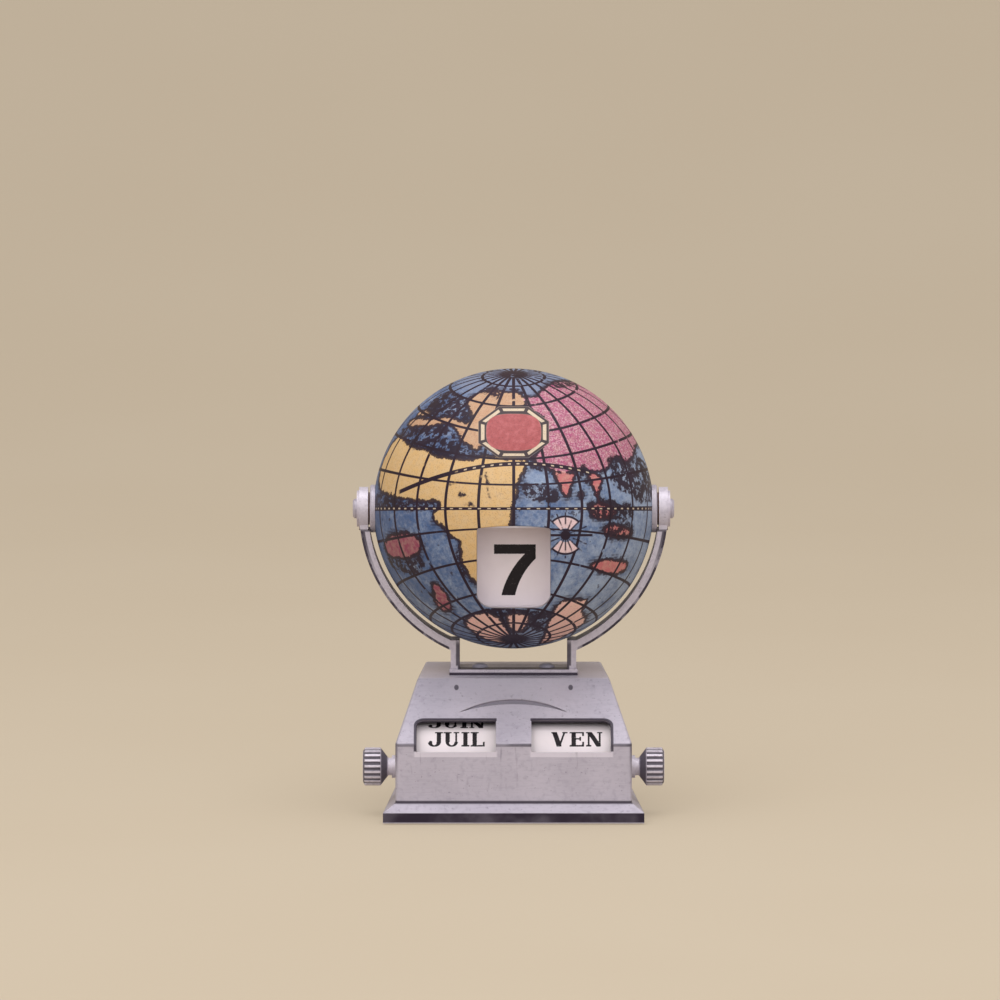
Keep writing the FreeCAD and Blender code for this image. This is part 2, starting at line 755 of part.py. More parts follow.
def knob(prefix, side):
    turned_form = on_axle(
        f"{prefix}_knob_form",
        side,
        [
            (KNOB_START, "axle_radius"),
            (KNOB_START, "collar_radius"),
            (f"{KNOB_START} + collar_length", "collar_radius"),
            (f"{KNOB_START} + collar_length", "neck_radius"),
            (f"{KNOB_START} + collar_length + neck_length", "neck_radius"),
            (KNOB_RIM, "knob_radius"),
            (f"{KNOB_END} - knob_crown", "knob_radius"),
            (KNOB_END, "crown_radius"),
            (KNOB_END, "0"),
            (SHAFT_END, "0"),
            (SHAFT_END, "axle_radius"),
        ],
    )
    flutes = ring_of_tools(
        f"{prefix}_flute", side, KNOB_FLUTES, "flute_radius", "knob_radius", f"{KNOB_RIM}", f"{KNOB_END} + overrun"
    )
    return cut(f"{prefix}_knob_cut", turned_form, *flutes)


def detent_spring(prefix, side):
    middle = "drum_outer + wheel_width / 2"
    blade = block(
        f"{prefix}_spring_blade",
        (f"{side} * ({middle}) - spring_width / 2", f"{side} * ({middle}) + spring_width / 2"),
        (SPRING_FACE, f"{SPRING_FACE} + spring_wall"),
        (PLATE_TOP, "spring_top"),
    )
    half = f"{side} * ({middle})"
    foot = block(
        f"{prefix}_spring_foot",
        (f"{half} - spring_foot_width / 2", f"{half} + spring_foot_width / 2"),
        (f"{SPRING_FACE} + spring_foot / 3", f"{SPRING_FACE} + spring_foot"),
        (PLATE_TOP, f"{PLATE_TOP} + spring_wall"),
    )
    tongue = block(
        f"{prefix}_spring_tongue",
        (f"{half} - spring_width / 2", f"{half} + spring_width / 2"),
        (SPRING_FACE, f"{SPRING_FACE} + spring_foot / 2"),
        (PLATE_TOP, f"{PLATE_TOP} + spring_wall"),
    )
    word = "right" if side > 0 else "left"
    hole = rod(f"{prefix}_spring_hole", "z", "small_rivet", "-overrun", "overrun * 2", *SMALL_RIVETS[f"spring_{word}"])
    return cut(f"{prefix}_spring", fuse(f"{prefix}_spring_blank", blade, foot, tongue), hole)


for prefix, side, notches in (("month", -1, MONTH_NOTCHES), ("weekday", 1, WEEKDAY_NOTCHES)):
    shaft_outline = [
        ("shaft_gap", "0"),
        (SHAFT_END, "0"),
        (SHAFT_END, "axle_radius"),
        ("shaft_gap", "axle_radius"),
    ]
    keep(f"{prefix}_shaft", on_axle(f"{prefix}_shaft_body", side, shaft_outline))
    keep(f"{prefix}_drum", drum(prefix, side))
    band = ("drum_inner + label_margin", "drum_outer - label_margin", "drum_radius", "drum_radius + label_wall")
    keep(f"{prefix}_label_band", sleeve(f"{prefix}_band", side, *band))
    keep(f"{prefix}_index_wheel", index_wheel(prefix, side, notches))
    keep(f"{prefix}_bushing", bushing(prefix, side))
    keep(f"{prefix}_knob", knob(prefix, side))
    keep(f"{prefix}_detent_spring", detent_spring(prefix, side))
keep(
    "spring_rivets",
    group(
        "spring_rivet_pair", *[small_rivet(f"spring_rivet_{word}", f"spring_{word}", "spring_wall") for word in SIDES]
    ),
)


# Yoke: one bent strap with a foot on the deck, two legs, two arcs and two ears

YOKE_INNER = "globe_radius + hub_flange + yoke_gap"
YOKE_OUTER = f"{YOKE_INNER} + strap_wall"


def yoke_strap():
    half = ("-strap_width / 2", "strap_width / 2")
    hoop = cut(
        "yoke_hoop",
        rod("hoop_outer", "y", YOKE_OUTER, *half, "0", "globe_height"),
        rod("hoop_inner", "y", YOKE_INNER, *half, "0", "globe_height"),
        block(
            "hoop_top",
            (f"-({YOKE_OUTER}) * 2", f"({YOKE_OUTER}) * 2"),
            ("-strap_width", "strap_width"),
            ("globe_height", f"globe_height + ({YOKE_OUTER}) * 2"),
        ),
        block(
            "hoop_middle",
            ("-(leg_reach - strap_wall)", "leg_reach - strap_wall"),
            ("-strap_width", "strap_width"),
            ("deck_height - overrun", "globe_height"),
        ),
    )
    leg_top = f"globe_height - sqrt(({YOKE_INNER}) * ({YOKE_INNER}) - leg_reach * leg_reach)"
    pieces = [
        block(
            "yoke_foot",
            ("-foot_reach", "foot_reach"),
            ("-foot_width / 2", "foot_width / 2"),
            ("deck_height", "deck_height + foot_wall"),
        )
    ]
    holes = []
    for word, side in SIDES.items():
        pieces.append(
            block(f"yoke_leg_{word}", across(side, "leg_reach - strap_wall", "leg_reach"), half, ("deck_height", leg_top))
        )
        start, end = across(side, YOKE_INNER, YOKE_OUTER)
        pieces.append(rod(f"yoke_ear_{word}", "x", "ear_radius", start, end, "0", "globe_height"))
        start, end = across(side, YOKE_OUTER, f"{YOKE_OUTER} + ear_boss")
        pieces.append(rod(f"ear_boss_{word}", "x", "ear_boss_radius", start, end, "0", "globe_height"))
        start, end = across(side, f"{YOKE_INNER} - overrun", f"{YOKE_OUTER} + overrun")
        holes.append(rod(f"ear_hole_{word}", "x", "pin_radius", start, end, "0", "globe_height"))
        start, end = across(side, f"{YOKE_INNER} - overrun", YOKE_INNER)
        holes.append(rod(f"ear_face_{word}", "x", "hub_radius + yoke_gap", start, end, "0", "globe_height"))
        holes.append(
            rod(
                f"foot_hole_{word}",
                "z",
                "yoke_rivet_radius",
                "deck_height - overrun",
                "deck_height + overrun",
                f"{side} * yoke_rivet_reach",
                "0",
            )
        )
    return cut("yoke", fuse("yoke_blank", hoop, *pieces), *holes)


def yoke_rivets():
    inside = "-housing_wall - rivet_tail"
    outline = [
        ("0", inside),
        ("yoke_rivet_head_radius", inside),
        ("yoke_rivet_head_radius", "-housing_wall"),
        ("yoke_rivet_radius", "-housing_wall"),
        ("yoke_rivet_radius", "foot_wall"),
        ("yoke_rivet_head_radius", "foot_wall"),
        ("yoke_rivet_head_radius * 4 / 5", "foot_wall + yoke_rivet_head * 3 / 5"),
        ("yoke_rivet_head_radius * 2 / 5", "foot_wall + yoke_rivet_head"),
        ("0", "foot_wall + yoke_rivet_head"),
    ]
    return group(
        "yoke_rivet_pair",
        *[
            turned(f"yoke_rivet_{word}", "z", outline, f"{side} * yoke_rivet_reach", "0", "deck_height")
            for word, side in SIDES.items()
        ],
    )


def pivot_pin(word, side):
    seat = f"{YOKE_OUTER} + ear_boss"
    outline = [
        ("hub_reach + pin_inset", "0"),
        ("hub_reach + pin_inset", "pin_radius"),
        (seat, "pin_radius"),
        (seat, "pin_head_radius"),
        (f"{seat} + pin_head - pin_head_bevel", "pin_head_radius"),
        (f"{seat} + pin_head", "pin_head_radius - pin_head_bevel"),
        (f"{seat} + pin_head", "0"),
    ]
    return turned(f"{word}_pin_body", "x", along(side, outline), "0", "0", "globe_height")


def pivot_washer(word, side):
    """A fibre washer against the inside of the ear: it rubs on the hub, and so holds the globe where it is put."""
    outline = [
        (f"{YOKE_INNER} - washer_wall", "pin_radius"),
        (YOKE_INNER, "pin_radius"),
        (YOKE_INNER, "washer_radius"),
        (f"{YOKE_INNER} - washer_wall", "washer_radius"),
    ]
    return turned(f"{word}_washer_body", "x", along(side, outline), "0", "0", "globe_height")


keep("yoke_strap", yoke_strap())
keep("yoke_rivets", yoke_rivets())
for word, side in SIDES.items():
    keep(f"{word}_pivot_pin", pivot_pin(word, side))
    keep(f"{word}_pivot_washer", pivot_washer(word, side))


# Globe: two pressed half shells on a joining ring, with a hub at each side

GLOBE_SPAN = "globe_radius * 2"


def ball(name, radius):
    return place(primitive("Part::Sphere", name, Radius=radius), "0", "0", "globe_height")


def hub_holes(name):
    """A bore through both sides of the globe for the hub barrels."""
    return rod(name, "x", "hub_barrel", f"-({GLOBE_SPAN})", GLOBE_SPAN, "0", "globe_height")


def view_block(name, grow, front, rear):
    """The straight opening of the date window, with its lower corners rounded."""
    raw = block(
        f"{name}_raw",
        (f"-(view_reach + {grow})", f"view_reach + {grow}"),
        (f"-({front})", f"-({rear})"),
        (f"globe_height - view_bottom - {grow}", f"globe_height - view_top + {grow}"),
    )

    def lower_corner(edge):
        low = abs(edge.BoundBox.ZMax - value(f"globe_height - view_bottom - {grow}")) < value("card_rest")
        return low and edge.BoundBox.YLength > value("card_wall")

    return rounded(name, raw, f"view_round + {grow}", lower_corner)


def half_shell(name, front):
    limits = (f"-({GLOBE_SPAN})", "0") if front else ("0", GLOBE_SPAN)
    half_space = block(
        f"{name}_half",
        (f"-({GLOBE_SPAN})", GLOBE_SPAN),
        limits,
        (f"globe_height - {GLOBE_SPAN}", f"globe_height + {GLOBE_SPAN}"),
    )
    skin = cut(f"{name}_skin", ball(f"{name}_out", "globe_radius"), ball(f"{name}_in", "globe_radius - globe_wall"))
    half = common(f"{name}_part", skin, half_space)
    tools = [hub_holes(f"{name}_hub_hole")]
    if front:
        tools.append(view_block("shell_view", "0", GLOBE_SPAN, "card_face"))
    return cut(name, half, *tools)


def joining_ring():
    outer = "globe_radius - globe_wall - ring_inset"
    half = ("-ring_width / 2", "ring_width / 2")
    return cut(
        "ring",
        rod("ring_outer", "y", outer, *half, "0", "globe_height"),
        rod("ring_inner", "y", f"{outer} - ring_wall", *half, "0", "globe_height"),
        hub_holes("ring_hub_hole"),
    )


def hub(word, side):
    """A flanged bush on the side of the globe, dished to sit on the shell."""
    outer = "globe_radius + hub_flange"
    outline = [
        ("hub_reach", "pin_radius + running_gap"),
        (outer, "pin_radius + running_gap"),
        (outer, "hub_radius - hub_chamfer"),
        (f"{outer} - hub_chamfer", "hub_radius"),
        ("globe_radius - hub_flange", "hub_radius"),
        ("globe_radius - hub_flange", "hub_barrel"),
        ("hub_reach", "hub_barrel"),
    ]
    form = turned(f"{word}_hub_form", "x", along(side, outline), "0", "0", "globe_height")
    start, end = across(side, "globe_radius - hub_flange * 2", outer)
    collar = cut(
        f"{word}_hub_dish",
        ball(f"{word}_hub_ball", "globe_radius + seat_gap"),
        rod(f"{word}_hub_core", "x", "hub_barrel", start, end, "0", "globe_height"),
    )
    return cut(f"{word}_hub_cut", form, collar)


def hub_nut(word, side):
    """A hexagon nut that clamps the carrier's ear, the ring and the shells against the hub flange."""
    start, end = across(side, "carrier_reach - carrier_wall - nut_width", "carrier_reach - carrier_wall")
    hexagon = primitive("Part::Prism", f"{word}_nut_form", Circumradius="nut_radius", Height="nut_width")
    hexagon.Polygon = 6
    place(hexagon, start, "0", "globe_height", ALONG["x"])
    return cut(f"{word}_nut", hexagon, rod(f"{word}_nut_bore", "x", "hub_barrel", start, end, "0", "globe_height"))


keep("globe_front_shell", half_shell("front_shell", True))
keep("globe_rear_shell", half_shell("rear_shell", False))
keep("globe_joining_ring", joining_ring())
for word, side in SIDES.items():
    keep(f"{word}_hub", hub(word, side))
    keep(f"{word}_hub_nut", hub_nut(word, side))


# Magazine of number cards inside the globe

CASE_REAR = f"card_face - card_pitch * {CARD_LAYERS} - case_face_gap"
COVER_REAR = f"{CASE_REAR} - cover_wall"
CHAMBER = "card_width / 2 + card_side_gap"
CASE_TOP = "card_floor + case_wall"
CEILING_FRONT = "card_floor - floor_rise"


def magazine_case():
    outer = block(
        "case_outer",
        ("-case_half", "case_half"),
        ("-case_face", f"-({CASE_REAR})"),
        (f"globe_height - ({CASE_TOP})", f"globe_height + {CASE_TOP}"),
    )
    inner_face = "-(card_face + case_face_gap)"
    chambers = plate(
        "case_chambers",
        "x",
        [
            (inner_face, "-card_floor"),
            (f"-({CASE_REAR})", "-card_floor + floor_rise"),
            (f"-({CASE_REAR}) + overrun", "-card_floor + floor_rise"),
            (f"-({CASE_REAR}) + overrun", "card_floor"),
            (f"-({CASE_REAR})", "card_floor"),
            (inner_face, CEILING_FRONT),
        ],
        f"2 * ({CHAMBER})",
        z="globe_height",
    )
    front_edge = "-card_face + card_pitch"
    rear_edge = f"-card_face + card_pitch * {LAST_LAYER - 1} + card_wall"
    divider = plate(
        "case_divider",
        "x",
        [
            (front_edge, "-divider_low"),
            (rear_edge, "-divider_low - floor_rise"),
            (rear_edge, "-divider_low - floor_rise + divider_wall"),
            (front_edge, "-divider_low + divider_wall"),
        ],
        "2 * case_half",
        z="globe_height",
    )
    lugs = []
    bores = []
    for word, side in SIDES.items():
        lugs.append(
            block(
                f"lug_{word}",
                across(side, "case_half", "lug_reach"),
                (f"-({COVER_REAR}) - lug_depth", f"-({COVER_REAR})"),
                ("globe_height - lug_half", "globe_height + lug_half"),
            )
        )
        bores.append(lug_bore(f"lug_bore_{word}", side))
    view = view_block("case_view", "0", "card_face + overrun", "card_face")
    walls = cut("case_walls", outer, chambers)
    return cut("case", fuse("case_body", walls, divider, *lugs), view, *bores)


def lug_bore(name, side):
    return rod(
        name,
        "y",
        "lug_screw",
        f"-({COVER_REAR}) - lug_screw_length",
        f"-({COVER_REAR}) + overrun",
        f"{side} * lug_screw_reach",
        "globe_height",
    )


def magazine_cover():
    return block(
        "cover",
        ("-case_half", "case_half"),
        (f"-({CASE_REAR})", f"-({COVER_REAR})"),
        (f"globe_height - ({CASE_TOP})", f"globe_height + {CASE_TOP}"),
    )


def window_frame():
    """A white tube from the case to the shell, trimmed to the inside of the globe."""
    tube = cut(
        "frame_tube",
        view_block("frame_outer", "tunnel_wall", GLOBE_SPAN, "case_face"),
        view_block("frame_inner", "0", f"{GLOBE_SPAN} + overrun", "card_face - overrun"),
    )
    return common("frame", tube, ball("frame_ball", "globe_radius - globe_wall - seat_gap"))


def carrier_plate():
    """A steel strip behind the magazine with ears bent back to both hubs."""
    front = f"-({COVER_REAR})"
    heights = ("globe_height - carrier_half", "globe_height + carrier_half")
    pieces = [
        block("carrier_strip", ("-carrier_reach", "carrier_reach"), (front, f"{front} + carrier_wall"), heights)
    ]
    holes = [hub_holes("carrier_hub_hole")]
    for word, side in SIDES.items():
        pieces.append(
            block(
                f"carrier_ear_{word}",
                across(side, "carrier_reach - carrier_wall", "carrier_reach"),
                (front, "carrier_rear"),
                heights,
            )
        )
        holes.append(lug_bore(f"carrier_bore_{word}", side))
    clear = ball("carrier_room", "globe_radius - globe_wall - carrier_clear")
    return cut("carrier", common("carrier_trim", fuse("carrier_blank", *pieces), clear), *holes)


def magazine_screws():
    outline = [
        ("0", "carrier_wall + lug_screw_cap"),
        ("lug_screw_head", "carrier_wall + lug_screw_cap"),
        ("lug_screw_head", "carrier_wall"),
        ("lug_screw", "carrier_wall"),
        ("lug_screw", "-lug_screw_length"),
        ("0", "-lug_screw_length"),
    ]
    return group(
        "magazine_screw_pair",
        *[
            turned(f"magazine_screw_{word}", "y", outline, f"{side} * lug_screw_reach", f"-({COVER_REAR})", "globe_height")
            for word, side in SIDES.items()
        ],
    )


def card(name, layer, upper):
    """One number card: it stands on the sloping floor, or on the sloping divider."""
    share = f"{layer} / {LAST_LAYER}"
    floor = f"-card_floor + floor_rise * {share}"
    divider = f"-divider_low + divider_wall - floor_rise * ({layer} - 1) / {LAST_LAYER - 1}"
    low = f"globe_height + card_rest + ({divider if upper else floor})"
    face = f"-card_face + card_pitch * {layer}"
    return block(
        name,
        ("-card_width / 2", "card_width / 2"),
        (face, f"{face} + card_wall"),
        (low, f"{low} + card_height"),
    )


keep("magazine_case", magazine_case())
keep("magazine_cover", magazine_cover())
keep("window_frame", window_frame())
keep("carrier_plate", carrier_plate())
keep("magazine_screws", magazine_screws())
keep("front_date_card", card("card_front", 0, False))
keep("rear_date_card", card("card_rear", LAST_LAYER, False))
keep("lower_date_cards", group("lower_stack", *[card(f"card_low_{n}", n, False) for n in range(1, LAST_LAYER)]))
keep("upper_date_cards", group("upper_stack", *[card(f"card_high_{n}", n, True) for n in range(UPPER_FIRST, LAST_LAYER)]))


# Check every object, then write one file per sub-part

doc.recompute()
failed = [item.Name for item in doc.Objects if {"Invalid", "Error"} & set(item.State)]
if failed:
    raise SystemExit(f"these objects failed: {failed}")
for name, item in NODES.items():
    if item.Shape.isNull() or not item.Shape.isValid() or not item.Shape.Solids:
        raise SystemExit(f"{name} has no valid solid")
os.makedirs("parts", exist_ok=True)
for name, item in NODES.items():
    item.Shape.exportStep(os.path.join("parts", f"{item.Label}.step"))
    print(f"{name}: {len(item.Shape.Solids)} solids, {item.Shape.Volume:.1f} mm3")
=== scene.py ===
# %% [markdown]
# # A perpetual desk calendar with a turning globe
#
# This notebook dresses a small metal desk calendar. The construction comes packed from CAD with every piece
# in its place, in metres, and we only add what the eye meets: pressed silver-grey metal, a lithographed tin
# globe, printed bands on two rollers and white number cards. Most new pieces are surfaces worked out with
# numpy: a function of two parameters gives all the points at once, and one helper turns the lattice of
# points into a closed mesh.

# %% The frame and the units
import json
import bpy
import numpy as np
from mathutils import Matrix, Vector

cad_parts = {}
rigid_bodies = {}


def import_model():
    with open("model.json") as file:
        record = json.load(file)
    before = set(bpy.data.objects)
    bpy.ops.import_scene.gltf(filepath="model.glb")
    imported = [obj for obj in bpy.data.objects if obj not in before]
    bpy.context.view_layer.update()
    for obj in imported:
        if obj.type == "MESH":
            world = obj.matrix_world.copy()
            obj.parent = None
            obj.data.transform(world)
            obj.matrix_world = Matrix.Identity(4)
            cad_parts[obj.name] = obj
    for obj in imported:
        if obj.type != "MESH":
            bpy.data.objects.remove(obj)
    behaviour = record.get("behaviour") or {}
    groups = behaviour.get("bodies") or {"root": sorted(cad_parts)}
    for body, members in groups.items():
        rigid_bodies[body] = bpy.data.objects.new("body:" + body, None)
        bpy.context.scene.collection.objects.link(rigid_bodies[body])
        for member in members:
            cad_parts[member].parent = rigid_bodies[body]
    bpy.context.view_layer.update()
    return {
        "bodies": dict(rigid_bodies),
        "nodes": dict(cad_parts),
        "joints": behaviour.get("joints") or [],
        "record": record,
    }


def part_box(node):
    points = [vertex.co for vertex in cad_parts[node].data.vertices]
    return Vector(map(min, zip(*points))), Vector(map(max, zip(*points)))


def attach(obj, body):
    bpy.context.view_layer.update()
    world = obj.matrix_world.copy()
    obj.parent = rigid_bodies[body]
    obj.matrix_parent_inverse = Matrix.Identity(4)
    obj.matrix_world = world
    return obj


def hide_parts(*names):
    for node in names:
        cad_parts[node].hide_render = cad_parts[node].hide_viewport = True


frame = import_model()
nodes = frame["nodes"]
MM = 0.001
TURN = 2 * np.pi
ELEVATION = np.radians(6.7)


def node_box(name):
    """Lowest and highest corner of a CAD node, in millimetres, as two arrays."""
    low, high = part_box(name)
    return np.array(low) / MM, np.array(high) / MM


shell_low, shell_high = node_box("globe_front_shell")
GLOBE_RADIUS = (shell_high[2] - shell_low[2]) / 2
GLOBE_CENTRE = np.array([0.0, 0.0, (shell_high[2] + shell_low[2]) / 2])
print(f"globe: radius {GLOBE_RADIUS:.2f} mm, centre at z {GLOBE_CENTRE[2]:.2f} mm")

# %% [markdown]
# ## Meshes from lattices
#
# Almost everything here is round or carried along a path, so its points form a lattice: one index runs
# round the piece, the other along its profile. A torus-like piece closes both ways. A ball-like piece
# closes one way and has a pole at each end of its profile, where the whole row of points is one point.
# Building the faces from index arithmetic keeps Python loops away from the vertices, and every seam is
# closed because the last row is the first.


# %% Lattice helper
def lattice(name, points, poles=False, fields=None, material=None, flip=False):
    """A closed mesh from points[round, along]. With poles, the first and last columns are one point each."""
    around, along = points.shape[:2]
    index = np.arange(around * along).reshape(around, along)
    if poles:
        index[:, 0] = index[0, 0]
        index[:, -1] = index[0, -1]
    follow = np.roll(index, -1, axis=0)
    if poles:
        quads = [index[:, 1:-2], follow[:, 1:-2], follow[:, 2:-1], index[:, 2:-1]]
        fans = [
            np.stack([index[:, 0], follow[:, 1], index[:, 1]], axis=-1),
            np.stack([index[:, -1], index[:, -2], follow[:, -2]], axis=-1),
        ]
    else:
        ahead = np.roll(index, -1, axis=1)
        quads = [index, follow, np.roll(follow, -1, axis=1), ahead]
        fans = []
    faces = [np.stack(quads, axis=-1).reshape(-1, 4), *fans]
    used, faces = compact(faces)
    if flip:
        faces = [face[:, ::-1] for face in faces]
    flat = points.reshape(-1, 3)[used] * MM
    values = {key: field.reshape(around * along, -1)[used] for key, field in (fields or {}).items()}
    return piece(name, flat, faces, values, material)


def compact(faces):
    """Leaves out the points that no face uses, and numbers the rest anew."""
    used = np.unique(np.concatenate([face.ravel() for face in faces]))
    place = np.zeros(used.max() + 1, int)
    place[used] = np.arange(len(used))
    return used, [place[face] for face in faces]


def piece(name, points, faces, fields, material):
    """Puts points and faces into a new mesh object at the origin, with its fields as attributes."""
    mesh = bpy.data.meshes.new(name)
    mesh.from_pydata(points.tolist(), [], [corner for face in faces for corner in face.tolist()])
    for key, field in fields.items():
        layer = mesh.attributes.new(key, "FLOAT", "POINT")
        layer.data.foreach_set("value", field.astype(np.float32).ravel())
    mesh.polygons.foreach_set("use_smooth", np.ones(len(mesh.polygons), bool))
    mesh.update()
    made = bpy.data.objects.new(name, mesh)
    bpy.context.scene.collection.objects.link(made)
    if material:
        mesh.materials.append(material)
    return made


# %% [markdown]
# ## Shader maths as Python
#
# A material is a formula from a place on the surface to a colour, a roughness and a bump. Written as a
# chain of Math nodes it's hard to read, so a small class wraps each socket and answers to plus, minus,
# times and divide. An expression such as `1 - mask * 0.5` then builds its own nodes. Colours never go
# through a Math node, which would turn them grey: they are blended by Mix.


# %% Sockets that do sums
def linear(*levels):
    """A colour written as eight-bit screen values, in the linear form that shaders use."""
    share = np.array(levels, float) / 255
    low = share / 12.92
    high = ((share + 0.055) / 1.055) ** 2.4
    return (*np.where(share <= 0.04045, low, high).tolist(), 1.0)


def joined(operation, swapped=False):
    """An operator that joins two values with a Math node, the second one first if swapped."""

    def method(self, other):
        return self.paint.math(operation, *((other, self) if swapped else (self, other)))

    return method


class Value:
    """A socket in a node tree, with Python's operators."""

    def __init__(self, paint, socket):
        self.paint = paint
        self.socket = socket

    __add__ = __radd__ = joined("ADD")
    __mul__ = __rmul__ = joined("MULTIPLY")
    __sub__ = joined("SUBTRACT")
    __rsub__ = joined("SUBTRACT", swapped=True)
    __truediv__ = joined("DIVIDE")
    __rtruediv__ = joined("DIVIDE", swapped=True)

    def __neg__(self):
        return self * -1

    def __abs__(self):
        return self.paint.math("ABSOLUTE", self)

    def ramp(self, low, high):
        """0 below low, 1 above high, and a soft step between; high may be the lower one."""
        inputs = {"Value": self, "From Min": low, "From Max": high}
        return self.paint.node("ShaderNodeMapRange", {"interpolation_type": "SMOOTHSTEP"}, inputs)


class Paint:
    """A material whose Principled shader is fed by expressions."""

    def __init__(self, name):
        self.material = bpy.data.materials.new(name)
        self.material.use_nodes = True
        self.tree = self.material.node_tree
        self.tree.nodes.clear()
        self.shader = self.tree.nodes.new("ShaderNodeBsdfPrincipled")
        output = self.tree.nodes.new("ShaderNodeOutputMaterial")
        self.tree.links.new(self.shader.outputs["BSDF"], output.inputs["Surface"])
        self.place = None

    def node(self, kind, settings=None, inputs=None, output=0):
        """Adds one node: its settings first, then the values or links of its sockets. Gives one output."""
        made = self.tree.nodes.new(kind)
        for key, setting in (settings or {}).items():
            setattr(made, key, setting)
        for key, entry in (inputs or {}).items():
            self.feed(made.inputs[key], entry)
        return Value(self, made.outputs[output])

    def feed(self, socket, entry):
        if isinstance(entry, Value):
            self.tree.links.new(entry.socket, socket)
        else:
            socket.default_value = entry

    def math(self, operation, *entries):
        return self.node("ShaderNodeMath", {"operation": operation}, dict(enumerate(entries)))

    def field(self, name):
        """A number that the mesh holds at each point."""
        return self.node("ShaderNodeAttribute", {"attribute_name": name}, output="Fac")

    def position(self, centre=(0, 0, 0)):
        """X, Y and Z of the surface in millimetres from a centre, in the piece's own coordinates."""
        if self.place is None:
            self.place = self.node("ShaderNodeTexCoord", output="Object")
        split = self.tree.nodes.new("ShaderNodeSeparateXYZ")
        self.feed(split.inputs[0], self.place)
        return [Value(self, out) * (1 / MM) - float(middle) for out, middle in zip(split.outputs, centre)]

    def noise(self, size, detail=2.0, roughness=0.5, stretch=(1, 1, 1), shift=(0, 0, 0)):
        """Noise about 0.5 whose blobs are about size millimetres wide, stretched along an axis if asked."""
        if self.place is None:
            self.place = self.node("ShaderNodeTexCoord", output="Object")
        scale = [1 / (size * MM * share) for share in stretch]
        inputs = {"Vector": self.place, "Location": shift, "Scale": scale}
        moved = self.node("ShaderNodeMapping", inputs=inputs)
        inputs = {"Vector": moved, "Scale": 1.0, "Detail": detail, "Roughness": roughness}
        return self.node("ShaderNodeTexNoise", inputs=inputs, output="Fac")

    def mix(self, mask, first, second):
        """The first colour where the mask is 0, the second where it is 1."""
        made = self.tree.nodes.new("ShaderNodeMix")
        made.data_type = "RGBA"
        self.feed(made.inputs[0], mask)
        self.feed(made.inputs[6], first)
        self.feed(made.inputs[7], second)
        return Value(self, made.outputs[2])

    def away(self, u, v):
        """Distance from the middle in a plane."""
        return self.math("SQRT", u * u + v * v)

    def bump(self, height, depth):
        """A bump whose full height is depth millimetres."""
        inputs = {"Height": height, "Distance": depth * MM}
        return self.node("ShaderNodeBump", inputs=inputs, output="Normal")

    def finish(self, **sockets):
        """Sets the Principled sockets by name, with spaces written as underscores."""
        for key, entry in sockets.items():
            self.feed(self.shader.inputs[key.replace("_", " ")], entry)
        return self.material


def most(first, *others):
    """The greatest of several values."""
    for other in others:
        first = first.paint.math("MAXIMUM", first, other)
    return first


def least(first, *others):
    """The least of several values."""
    for other in others:
        first = first.paint.math("MINIMUM", first, other)
    return first


# %% [markdown]
# ## Silver-grey pressed metal
#
# The base and the yoke are pressed from sheet, brushed along their length and lacquered silver-grey with a
# trace of lavender. A flat grey would look like card, so the colour carries three scales of change: cloudy
# patches from the lacquer, fine brush lines drawn out along X, and painted shade in the corners, creases and
# openings, with a few smudges of dirt. These are known places of the base, so plain distances in the piece's
# own coordinates say where it is darker. One distance does most of the work: how deep a point lies below the
# outer faces. It is 0 on the outside, small on the floor of the pressed crescent, and larger on the cut edges
# of the windows, which are painted almost black as shade. Painted light makes the upper slope, the deck and a
# lip under each window lighter.

# %% Metal finishes
drum_low, drum_high = node_box("month_drum")
AXLE = (drum_low[1:] + drum_high[1:]) / 2
BODY_FRONT = -24.1
CREASE = 17.5
DECK_EDGE = (-8.5, 30.0)
SKIRT_TOP = 2.6
FLARE_TOP = 4.4
WINDOW_NEAR = 3.9
WINDOW_FAR = 21.25
WINDOW_SILL = 15.7
WINDOW_TOP = 21.95
WINDOW_ROUND = 1.5
BODY_SIDE = 26.0
DECK = DECK_EDGE[1]
DOT_PLACE = (12.6, 28.2)
DOT_RADIUS = 0.5
WINDOWS_REACH = 22.8
WINDOWS_HEIGHT = 23.4
CRESCENT_REACH = 14.0
OPENINGS_MIDDLE = 20.0
OPENINGS_HALF = 9.0
OPENINGS_DEPTH = 2.4

METAL = linear(173, 167, 180)
METAL_LIGHT = linear(194, 187, 199)
METAL_SHADE = linear(130, 123, 141)
# Near black: the pits, and the painted shade with some dirt on the metal.
PIT_AND_SHADE_DARK = linear(26, 12, 38)
# Pale metal: the knobs' own tone, and the painted light on the housing.
PALE_METAL_AND_HIGHLIGHT = linear(210, 203, 215)
METAL_SHARE = 0.22


